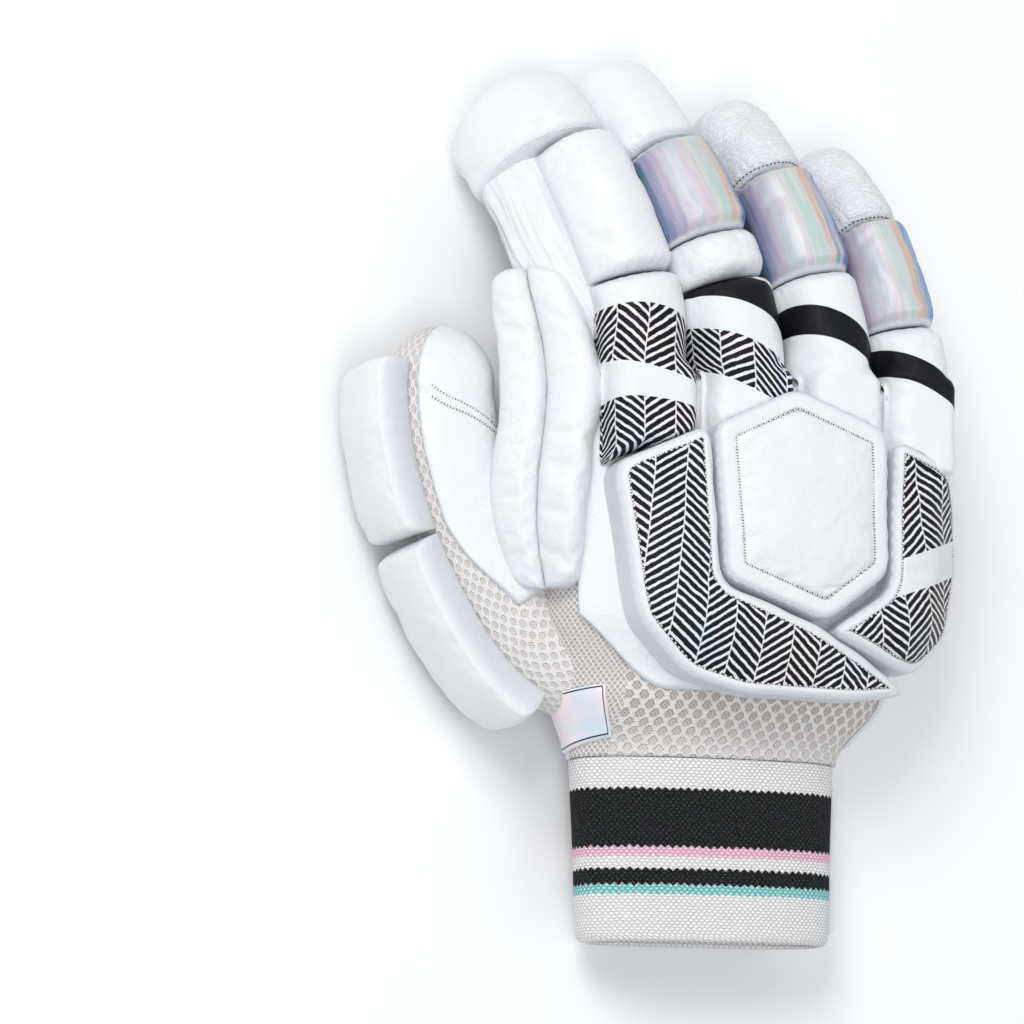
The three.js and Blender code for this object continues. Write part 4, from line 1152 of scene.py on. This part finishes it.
plateShape = {
    "thickness": 14, "rows": 150, "wallRows": 9, "wallShare": 0.72, "shoulder": 3.0, "shoulderShare": 0.2,
    "dome": 0.12, "domeReach": 22.0, "seamDepth": 0.6, "seamWidth": 0.55, "sewnPastGroove": 1.1,
}


def plateSpot(across, along):
    return np.array([
        layout["palmSide"] + across * layout["palmWidth"] / 2,
        layout["wristY"] + along * layout["palmLength"],
    ])


# outline with its corners cut by quadratic curves, resampled to even steps
def roundOutline(corners, radius, count):
    points = []
    t = np.linspace(0, 1, 12)[:, None]
    for before, corner, after in zip(np.roll(corners, 1, axis=0), corners, np.roll(corners, -1, axis=0)):
        start = mix(corner, before, min(radius / np.linalg.norm(before - corner), 0.45))
        end = mix(corner, after, min(radius / np.linalg.norm(after - corner), 0.45))
        points.append((1 - t) ** 2 * start + 2 * t * (1 - t) * corner + t ** 2 * end)
    path = np.vstack(points + [points[0][:1]])
    length = walked(path)
    return pointsAt(np.linspace(0, length[-1], count, endpoint=False), length, path)


# both half borders of a plate between its two ends, and the distance of any point to the border
def plateHalves(look):
    border = roundOutline(np.array([plateSpot(*share) for share in look["outline"]]), look["corner"], 720)
    first, second = (np.linalg.norm(border - plateSpot(*end), axis=1).argmin() for end in look["ends"])
    ahead = np.roll(border, -first, axis=0)
    cut = (second - first) % len(border)
    halves = []
    for path in (ahead[: cut + 1], np.vstack([ahead[cut:], ahead[:1]])[::-1]):
        length = walked(path)
        halves.append(pointsAt(crowded(0, length[-1], 3.0, plateShape["rows"], 9), length, path)[1:-1])
    return border, halves


def borderDistance(points, border):
    gap = points[..., None, :] - border[::2]
    return np.sqrt(np.min(np.sum(gap * gap, axis=-1), axis=-1))


# height share of the plate at a distance from its border: a quarter-round shoulder, then a slight dome
def plateProfile(distance):
    shape = plateShape
    top = shape["wallShare"] + shape["shoulderShare"] * rounded(distance, shape["shoulder"])
    return top + shape["dome"] * smooth((distance - shape["shoulder"]) / shape["domeReach"])


# cross lines join the half borders; at all four sides the same rows climb the wall from the hand
def buildPlates():
    shape = plateShape
    for name, look in plateLook.items():
        border, (near, far) = plateHalves(look)
        wall = shape["wallRows"]
        near, far = (np.pad(half, ((wall, wall), (0, 0)), mode="edge") for half in (near, far))
        arc = shape["shoulder"] * (1 - np.cos(np.linspace(0, math.pi / 2, 8)))
        flatSteps = shape["shoulder"] + np.array([0.7, 1.4, 2.1, 2.8, 3.5])
        reach = np.concatenate([np.zeros(wall), arc, flatSteps])
        width = np.linalg.norm(far - near, axis=1, keepdims=True)
        shrink = np.minimum(1, width / 2.1 / reach[-1])
        middle = np.linspace(0, 1, 34)[1:-1]
        across = np.hstack([
            reach * shrink,
            mix(reach[-1] * shrink, width - reach[-1] * shrink, middle),
            width - reach[::-1] * shrink,
        ])
        flat = near[:, None] + (far - near)[:, None] * (across / width)[..., None]
        climb = np.linspace(0, 1, wall, endpoint=False)
        rowLevel = np.concatenate([climb, np.ones(len(flat) - 2 * wall), climb[::-1]])[:, None]
        columnLevel = np.concatenate([climb, np.ones(flat.shape[1] - 2 * wall), climb[::-1]])[None, :]
        level = np.minimum(rowLevel, columnLevel)
        fromEdge = borderDistance(flat, border)
        low = backHeight(flat[..., 0], flat[..., 1], layout["plateLift"])
        seam = np.exp(-((fromEdge - look["groove"]) / shape["seamWidth"]) ** 2) * (level == 1)
        height = shape["thickness"] * np.where(level < 1, shape["wallShare"] * level, plateProfile(fromEdge))
        grid = np.concatenate([flat, (low + height)[..., None]], axis=-1)
        soft = ripple(grid, 26, 51 + len(name)) * 0.28 * smooth(fromEdge / 5)
        puckers = np.sin(run(grid, 0) * 1.7 + 2 * ripple(grid, 13, 5))
        puckers *= np.exp(-((fromEdge - look["groove"]) / 1.6) ** 2)
        grid[..., 2] += soft - shape["seamDepth"] * seam + 0.09 * puckers
        inner = np.concatenate([flat, (low - 0.2)[..., None]], axis=-1)
        material = plateMaterials.get(name, whiteLeather)
        edge = np.where(level < 1, 0.0, fromEdge)
        sewn = (level < 1) | (fromEdge < look["groove"] + shape["sewnPastGroove"])
        slab(f"{name}_leather", grid, inner, edge, material, node=name, padded=0.9,
             flow=(flat[..., 0], flat[..., 1]), sewn=sewn)
        sewPlate(look, border)


# a line of stitches at the groove: the border moved in along its own normals, less at tight corners
def sewPlate(look, border):
    ahead = np.roll(border, -8, axis=0) - np.roll(border, 8, axis=0)
    inward = np.stack([-ahead[:, 1], ahead[:, 0]], axis=-1) / np.linalg.norm(ahead, axis=1, keepdims=True)
    turning = np.sum(border[:, 0] * np.roll(border[:, 1], -1) - np.roll(border[:, 0], -1) * border[:, 1])
    path = border + inward * math.copysign(look["groove"], turning)
    path = path[borderDistance(path, border) > look["groove"] - 0.35]
    distance = borderDistance(path, border)
    height = plateProfile(distance) * plateShape["thickness"] - plateShape["seamDepth"] * 0.7
    z = backHeight(path[:, 0], path[:, 1], layout["plateLift"]) + height
    line = np.concatenate([path, z[:, None]], axis=-1)
    line = np.vstack([line, line[:1]])
    upward = np.tile([0.0, 0.0, 1.0], (len(line), 1))
    sewLine("white", line + upward * 0.1, upward, pitch=1.9, length=1.25)
    # painted shade: small dark spindles sunk under the white stitches stand for the shade in the needle holes
    sewLine("dark", line - upward * 0.12, upward, pitch=0.95, length=0.42, radius=0.34)


# herringbone field inside a white border, cut by plain bands; limits are slanted lines over the plate
def plateLeather(name, slot, bands, angle):
    shader = Shader(name, slot)
    colour, height = leatherBase(shader, 0.2, 0.08)
    x, y, edge = shader.pattern
    turn = math.radians(angle)
    u = x * math.cos(turn) + y * math.sin(turn)
    v = y * math.cos(turn) + x * -math.sin(turn)
    ragged = shader.noise(900.0, detail=1.0) * 0.8 + (edge - 0.4)
    field = shader.step(ragged, 2.9, 3.1)
    for low, high, slope in bands:
        place = x * slope + y
        field *= (1.0 - band(shader, place, low, high))
    colour = shader.blend(field, colour, pastelGround(shader, colour))
    mask = herringbone(shader, u, v, 10.5, 2.9) * field
    colour = shader.blend(mask, colour, leatherLook["black"])
    height = mask * 0.05 + height
    return shader.finish(colour, 0.52, height, 0.8, shine=0.2)


plateMaterials = {
    "thumb_side_plate": plateLeather("thumb side print", "patterned_leather", [], -4),
    "little_side_plate": plateLeather("little side print", "patterned_leather", [(-50, -38, -0.35)], 12),
}
buildPlates()


print("leather ground, side panel, tab and patch")


# a thin sheet on the hand between two turns and two places, with rounded edges; ys may differ by column
def wrapSheet(name, node, turns, ys, thickness, material, counts=(60, 60), seed=0, wave=0.3, lift=0.3):
    turn = np.linspace(*turns, counts[1])[None, :]
    low, high = (np.broadcast_to(y, turn.shape) for y in ys)
    y = mix(low, high, np.linspace(0, 1, counts[0])[:, None])
    fromEdge = np.minimum(np.minimum(turn - min(turns), max(turns) - turn), np.minimum(y - low, high - y))
    full = rounded(fromEdge, 0.9)
    outer = handSurface(turn, y, lift + thickness * full)
    outer = pushed(outer, ripple(outer, 22, 81 + seed) * wave * full)
    inner = handSurface(turn, y, lift - 0.05)
    flow = (run(outer, 1), y)
    return slab(name, outer, inner, fromEdge, material, node=node, flow=flow), outer


# area of a grid of points: half the cross product of each cell's two diagonals
def gridArea(grid):
    first, second = grid[1:, 1:] - grid[:-1, :-1], grid[1:, :-1] - grid[:-1, 1:]
    return float(np.linalg.norm(np.cross(first, second), axis=-1).sum() / 2)


def alongPalm(share):
    return layout["wristY"] + share * layout["palmLength"]


groundLook = {
    "turns": (34, 148), "low": 0.17, "cornerTurn": 112, "cornerWidth": 42, "cornerRise": 0.2,
    "thickness": 2.0,
}
tabLook = {"turns": (138, 186), "ys": (0.012, 0.150), "climb": 0.035, "thickness": 1.1, "border": 0.8}


# the ground's lower edge climbs towards the thumb; the tab is a folded foil label with a thin dark border
def buildWraps():
    ground = groundLook
    turn = np.linspace(*ground["turns"], 110)
    corner = smooth((turn - ground["cornerTurn"]) / ground["cornerWidth"])
    ys = (alongPalm(ground["low"] + ground["cornerRise"] * corner), knuckleY - 0.3)
    wrapSheet("backhand_ground", "backhand_base", ground["turns"], ys, ground["thickness"], whiteLeather,
              counts=(90, 110), seed=1, wave=0.35)
    ys = (alongPalm(0.05), alongPalm(0.62))
    wrapSheet("side_gusset", "side_panel", (-32, 22), ys, 1.2, whiteLeather, seed=2)
    tab = tabLook
    climb = np.linspace(tab["climb"], 0, 60)
    ys = tuple(alongPalm(share + climb) for share in tab["ys"])
    piece, grid = wrapSheet("folded_tab", "label_tab", tab["turns"], ys, tab["thickness"], tabFoil,
                            seed=3, wave=0.12)
    gridArea(grid) / 1e6


# pastel foil inside a thin dark border
def buildTabFoil():
    shader = Shader("tab foil", "foil")
    edge = shader.pattern[2]
    colour = pastelGround(shader, (0.84, 0.86, 0.9, 1), 0.9, 75.0)
    border = band(shader, edge, tabLook["border"], tabLook["border"] + 0.5, 0.1)
    colour = shader.blend(border, colour, leatherLook["black"])
    return shader.finish(colour, 0.25, shader.noise(150.0), 0.2, coat=0.5)


tabFoil = buildTabFoil()
buildWraps()

patchLook = {
    "corner": 8, "thickness": 1.2, "rings": 26, "seams": (1.8, 3.6), "centre": (-0.5, 0.36),
    "outline": [
        (-0.74, 0.64), (-0.46, 0.56), (-0.3, 0.36), (-0.32, 0.24), (-0.46, 0.14), (-0.6, 0.12), (-0.66, 0.3),
    ],
}


# crescent on the palm at the ball of the thumb: rings shrink from its border to its centre
def buildPatch():
    look = patchLook
    border = roundOutline(np.array([plateSpot(*share) for share in look["outline"]]), look["corner"], 300)
    share = crowded(0, 1, 0.04, look["rings"], 7)[:, None, None]
    flat = mix(border[None], plateSpot(*look["centre"])[None, None], share[:-1])
    fromEdge = borderDistance(flat, border)
    floorLevel = layout["restLevel"] - layout["clearance"]
    skin = np.maximum(backHeight(flat[..., 0], flat[..., 1], 0.3, -1.0), floorLevel)
    seam = sum(np.exp(-((fromEdge - place) / 0.4) ** 2) for place in look["seams"])
    low = skin - look["thickness"] * rounded(fromEdge, 0.9) + 0.35 * seam
    outer = np.concatenate([flat, low[..., None]], axis=-1)
    inner = np.concatenate([flat, (skin + 0.1)[..., None]], axis=-1)
    rings = np.concatenate([inner[::-1], outer])
    closedTube(
        "thumb_crescent", rings, np.concatenate([0 * fromEdge, fromEdge]), whiteLeather, node="thumb_patch"
    )
    for place in look["seams"]:
        row = int(np.argmin(np.abs(fromEdge.mean(axis=1) - place)))
        sewLine("white", outer[row], np.tile([0.0, 0.0, -1.0], (len(outer[row]), 1)))


buildPatch()


print("side bolster")
bolsterLook = {
    "along": [0.43, 0.52, 0.72, 0.92, 1.1, 1.29], "out": [0.1, 0.2, 0.43, 0.67, 0.95, 1.25],
    "up": [1.0, 1.05, 1.1, 1.11, 1.05, 0.98], "wide": [0.6, 0.8, 0.97, 1.04, 0.94, 0.68],
    "thickness": 13.0, "width": 33.0, "tilt": 46,
}


# two padded strips side by side: ovals in a plane across the arm, carried along the flank on curves
# fitted through the stations
def buildBolster():
    look = bolsterLook
    along = crowded(look["along"][0], look["along"][-1], 0.035, 110, 9)
    middle, half = (look["along"][0] + look["along"][-1]) / 2, (look["along"][-1] - look["along"][0]) / 2
    stations = (np.array(look["along"]) - middle) / half
    read = {
        key: np.polyval(np.polyfit(stations, look[key], degree), (along - middle) / half)
        for key, degree in (("out", 3), ("up", 4), ("wide", 4))
    }
    fromEnd = np.minimum(along - along[0], along[-1] - along) * layout["palmLength"]
    taper = rounded(fromEnd, 5.0)
    y = layout["wristY"] + along * layout["palmLength"]
    side, rise, wide, tall, power = handOval(y)
    x = side - wide - read["out"] * look["thickness"]
    smoothed = np.polyval(np.polyfit(y, x, 5), y)
    z = read["up"] * layout["knuckleRise"]
    turn = np.linspace(0, 2 * math.pi, 72, endpoint=False)[None, :]
    tilt = math.radians(look["tilt"])
    for name, sign in (("bolster_outer", -1), ("bolster_inner", 1)):
        full = (np.maximum(read["wide"], 0.3) * mix(0.55, 1, taper))[:, None]
        thick = look["thickness"] / 2 * squared(np.cos(turn), 2.5) * full ** 0.5
        quarter = look["width"] / 4
        across = (quarter * squared(np.sin(turn), 2.9) + sign * (quarter + 0.05)) * full
        grid = np.stack([
            smoothed[:, None] + thick * math.cos(tilt) + across * math.sin(tilt),
            y[:, None] + 0 * thick,
            z[:, None] - thick * math.sin(tilt) + across * math.cos(tilt),
        ], axis=-1)
        soft = ripple(grid, 26, 91 + sign, 2) * 0.22 * full
        grid += unit(fromMiddle(grid)) * soft[..., None]
        closedTube(f"{name}_leather", grid, np.minimum(fromEnd[:, None], 9) + 0 * thick, whiteLeather,
                   node=name, padded=0.7, sewn=(fromEnd[:, None] < 2) | (-sign * np.sin(turn) > 0.9))


buildBolster()


print("thumb")


# the seam over the thumb's face climbs from its inner side to its outer side
def thumbSeam(t):
    return thumbLook["seam"] + thumbLook["seamClimb"] * (t - 0.35)


# turn in degrees at which the face's leather ends, on the outer side
def faceEnd(share):
    return thumbLook["faceTurns"][1] - 34 * smooth((0.62 - share) / 0.25)


# rows of the thumb: straight until one half width before the end, then a quarter circle
def thumbRows(start, end, count, arcRows=13):
    cap = thumbLook["half"] / thumbLength
    turn = np.linspace(0, math.pi / 2, 14)[1: arcRows + 1]
    share = np.concatenate([np.linspace(start, end - cap, count), end - cap + cap * np.sin(turn)])
    return share[:, None], np.concatenate([np.ones(count), np.cos(turn)])[:, None]


def buildThumbSleeve():
    turn = ringTurns(96)
    walls = []
    for grow in (0.0, -layout["handWall"]):
        share, scale = thumbRows(thumbLook["mouth"], 1 + grow / thumbLength, 80)
        walls.append(thumbSurface(turn, share, grow, scale))
    flow = (turn * 0.29, thumbRows(thumbLook["mouth"], 1, 80)[0] * thumbLength)
    shell("thumb_mesh", *walls, 9.0, thumbMesh, node="thumb_sleeve", flow=flow)


# leather over the face towards the index finger, up over the tip, with a seam and wrinkles across it
def buildThumbFace():
    look = thumbLook
    share, scale = thumbRows(look["faceFrom"], 1, 60, 12)
    t = np.linspace(0, 1, 90)[None, :]
    turns = mix(look["faceTurns"][0], faceEnd(share), t)
    fromEdge = np.minimum(np.minimum(t, 1 - t) * 60, (share - look["faceFrom"]) * thumbLength)
    full = rounded(fromEdge, 1.2)
    outer = thumbSurface(turns, share, 0.3 + 1.5 * full, scale)
    seam = np.exp(-((share - thumbSeam(t)) * thumbLength / look["seamWidth"]) ** 2)
    wrinkles = ripple(outer, 7, 102) * 0.55 * np.exp(-((share - 0.6) / 0.1) ** 2) * (1 - 0.6 * t)
    folds = ripple(outer, 24, 101) * 0.35 + wrinkles
    outer = pushed(outer, (folds * full - look["seamDepth"] * seam) * np.minimum(scale * 2, 1))
    for offset in (-1.6, 1.6):
        at = thumbSeam(t[0]) + offset / thumbLength
        path = thumbSurface(mix(look["faceTurns"][0], faceEnd(at), t[0]), at, 1.85)[8:-8]
        normals = path - thumbPoint(at)[8:-8]
        sewLine("white", path, normals, radius=0.3)
        # painted shade: small dark spindles between the white stitches stand for the shade in the needle
        # holes
        sewLine("dark", path, normals, pitch=1.1, length=0.45, radius=0.3)
    inner = thumbSurface(turns, share, 0.25, scale)
    slab("thumb_face", outer, inner, fromEdge, whiteLeather, node="thumb_face_leather")


# a thick pad: a wall at each of its four edges, and a slight fall towards both ends
def buildThumbPad(name, start, end, seed):
    look = thumbLook
    share = crowded(start, end, 4.2 / thumbLength, 50, 9)[:, None]
    t = crowded(0, 1, 0.09, 60, 8)[None, :]
    turns = mix(*look["padTurns"], t)
    fromEnd = np.minimum(share - start, end - share) * thumbLength
    fromSide = np.minimum(t, 1 - t) * 34
    full = rounded(fromEnd, 3.4) * rounded(fromSide, 3.0)
    thickness = mix(0.3, look["padThickness"], full * mix(0.93, 1, smooth(fromEnd / 14)))
    outer = thumbSurface(turns, share, 0.3 + thickness, power=look["padPower"])
    pinch = np.sin(run(outer, 1) * 1.5 + 2 * ripple(outer, 11, 7)) * np.exp(-fromEnd / 2.5) * 0.18
    outer = pushed(outer, (ripple(outer, 22, 110 + seed) * 0.3 + pinch) * full)
    inner = thumbSurface(turns, share, 0.3)
    edge = np.minimum(fromEnd, fromSide)
    slab(f"{name}_leather", outer, inner, edge, whiteLeather, node=name, padded=0.85,
         sewn=(fromEnd < 2.2) | (fromSide < 1.5))


buildThumbSleeve()
buildThumbFace()
buildThumbPad("thumb_tip_pad", 0.6, 0.895, 1)
buildThumbPad("thumb_base_pad", 0.265, 0.592, 2)


print("wristband and strap")
bandLook = {
    "length": 59.5, "wall": 3.0, "wide": 47.0, "hemRadius": 1.5,
    "at": [0, 0.04, 0.12, 0.5, 1], "narrow": [0.9, 0.93, 0.935, 0.95, 0.98],
    "stripes": [("black", 28.6, 9.6), ("pink", 31.6, 28.6), ("black", 40.8, 35.6), ("teal", 43.8, 40.8)],
}


# tube of ovals from the hem to the wrist seam; both walls round into each other at the hem
def bandSurface(turn, y, outset):
    at = 1 - (layout["wristY"] - layout["clearance"] - y) / bandLook["length"]
    narrow = np.interp(at, bandLook["at"], bandLook["narrow"])
    side, rise, _, tall, power = handOvals[0]
    cos, sin = ovalWaves(turn, power)
    x, z = side + (bandLook["wide"] * narrow + outset) * cos, rise + (tall + outset) * sin
    return np.stack([x, y + 0 * x, np.maximum(z, layout["restLevel"] - outset)], axis=-1)


def buildBand():
    bandEnd = layout["wristY"] - layout["clearance"]
    hem = bandEnd - bandLook["length"]
    radius = bandLook["hemRadius"]
    arcTurn = np.linspace(0, math.pi, 13)
    hemArc = hem + radius * (1 - np.sin(arcTurn[:0:-1]))
    y = np.concatenate([hemArc, np.linspace(hem + radius, bandEnd, 90)])
    outset = np.concatenate([-bandLook["wall"] / 2 * (1 + np.cos(arcTurn[:-1])), np.zeros(90)])
    turn = ringTurns(240)
    outer = bandSurface(turn, y[:, None], outset[:, None])
    wave = ripple(outer, 60, 121, 2) * 0.5 * (outset > -0.01)[:, None]
    outer[..., 2] += np.where(outer[..., 2] > 12, wave, 0)
    innerY = np.linspace(hem + radius, bandEnd, 20)[:, None]
    inner = bandSurface(turn, innerY, -bandLook["wall"] + 0 * innerY)
    stripes = [(tone, bandEnd - low, bandEnd - high) for tone, low, high in bandLook["stripes"]]
    material = knit("striped knit", "knit", stripes)
    piece = shell("wristband_knit", outer, inner, 9.0, material, node="wristband")
    rings = np.concatenate([outer, inner[::-1]])
    pattern = np.stack([run(rings, 1), rings[..., 1], 9 + 0 * rings[..., 0]], axis=-1).astype(np.float32)
    piece.data.attributes["pattern"].data.foreach_set("vector", pattern.reshape(-1))


buildBand()

strapLook = {"width": 50.0, "first": 256.0, "last": 366.0, "thickness": 2.0, "place": 0.52}


# coated strap bent round the under side of the band; its tip is cut back at both corners
def buildStrap():
    look = strapLook
    bandEnd = layout["wristY"] - layout["clearance"]
    middle = bandEnd - bandLook["length"] * look["place"]
    t = crowded(0, 1, 0.012, 120, 6)
    narrow = np.interp(t, [0, 0.08, 0.3, 0.7, 0.92, 1], [0.3, 0.06, 0, 0, 0.03, 0.05])
    across = crowded(-0.5, 0.5, 0.02, 44, 6)
    y = middle + across[:, None] * look["width"] * (1 - narrow)[None, :]
    turn = mix(look["first"], look["last"], t)[None, :]
    fromLong = (0.5 - np.abs(across))[:, None] * look["width"]
    fromEdge = np.minimum(fromLong, np.minimum(t, 1 - t)[None, :] * 80)
    full = rounded(fromEdge, 0.8)
    outer = bandSurface(turn, y, layout["clearance"] + look["thickness"] * full)
    outer[..., 2] = np.maximum(outer[..., 2], 0.02)
    inner = bandSurface(turn, y, layout["clearance"] - 0.02 + 0 * y)
    piece = slab("wrist_strap_coated", outer, inner, fromEdge, strapLeather, node="wrist_strap")
    gridArea(outer) / 1e6
    for row in (3, -4):
        sewLine("white", outer[row, 6:-6], gridNormals(outer)[row, 6:-6])


buildStrap()

print("cloth simulation of the pads")
simulatePads()


print("stitches")
stitchMesh("white_stitches", "white", threadMaterial)
# the dark spindles: painted shade of the needle holes, and the creased caps' dark thread
stitchMesh("dark_stitches_and_hole_shade", "dark", darkThreadAndHoleShade)


print("stage, lights and camera")
stageLook = {
    "floor": (0.93, 0.935, 0.94, 1), "floorShade": (0.95, 0.95, 0.955, 1), "size": 6.0,
    "world": (0.93, 0.96, 1.0, 1), "worldStrength": 0.5, "aim": (0, 0, 0.03),
    "lamps": {"key": ((-0.9, 0.9, 1.5), 0.8, 17.0), "front": ((-0.5, -0.7, 1.9), 1.0, 10.0),
              "fill": ((1.2, -0.2, 1.4), 1.2, 4.0)},
}


def buildStage():
    look = stageLook
    mesh = bpy.data.meshes.new("floor")
    half = look["size"] / 2
    corners = [(-half, -half, 0), (half, -half, 0), (half, half, 0), (-half, half, 0)]
    mesh.from_pydata(corners, [], [(0, 1, 2, 3)])
    floor = bpy.data.objects.new("floor", mesh)
    bpy.context.scene.collection.objects.link(floor)
    shader = Shader("pale floor", "white_leather")
    colour = shader.blend(shader.noise(40.0), look["floor"], look["floorShade"])
    mesh.materials.append(shader.finish(colour, 0.8))
    world = bpy.data.worlds.new("studio")
    world.use_nodes = True
    world.node_tree.nodes["Background"].inputs[0].default_value = look["world"]
    world.node_tree.nodes["Background"].inputs[1].default_value = look["worldStrength"]
    bpy.context.scene.world = world
    bpy.context.scene.view_settings.view_transform = "Standard"  # whites stay white and blacks black
    for name, (place, size, power) in look["lamps"].items():
        light = bpy.data.lights.new(name, "AREA")
        light.size = size
        light.energy = power
        lamp = bpy.data.objects.new(name, light)
        lamp.location = place
        lamp.rotation_euler = (Vector(look["aim"]) - Vector(place)).to_track_quat("-Z", "Y").to_euler()
        bpy.context.scene.collection.objects.link(lamp)


buildStage()
cameraLook = {
    "right": (0.92718, 0.0, 0.37461), "up": (-0.05214, 0.99027, 0.12904), "scale": 0.000327,
    "photoSide": 1024, "originPixel": (624, 511), "lens": 200.0, "sensor": 36.0, "height": 0.03,
}


# the camera's plane goes through the frame's origin at its pixel; a long lens keeps the lines parallel
def buildCamera():
    look = cameraLook
    right, up = Vector(look["right"]), Vector(look["up"])
    back = right.cross(up)
    half = look["photoSide"] / 2
    width = look["scale"] * look["photoSide"]
    distance = width * look["lens"] / look["sensor"]
    offset = right * ((half - look["originPixel"][0]) * look["scale"])
    offset += up * ((look["originPixel"][1] - half) * look["scale"])
    middle = offset + back * look["height"]
    camera = bpy.data.objects.new("camera", bpy.data.cameras.new("camera"))
    camera.data.lens = look["lens"]
    camera.data.sensor_width = look["sensor"]
    camera.data.clip_end = 20
    rotation = Matrix((right, up, back)).transposed().to_4x4()
    camera.matrix_world = Matrix.Translation(middle + back * distance) @ rotation
    bpy.context.scene.collection.objects.link(camera)
    bpy.context.scene.camera = camera


buildCamera()
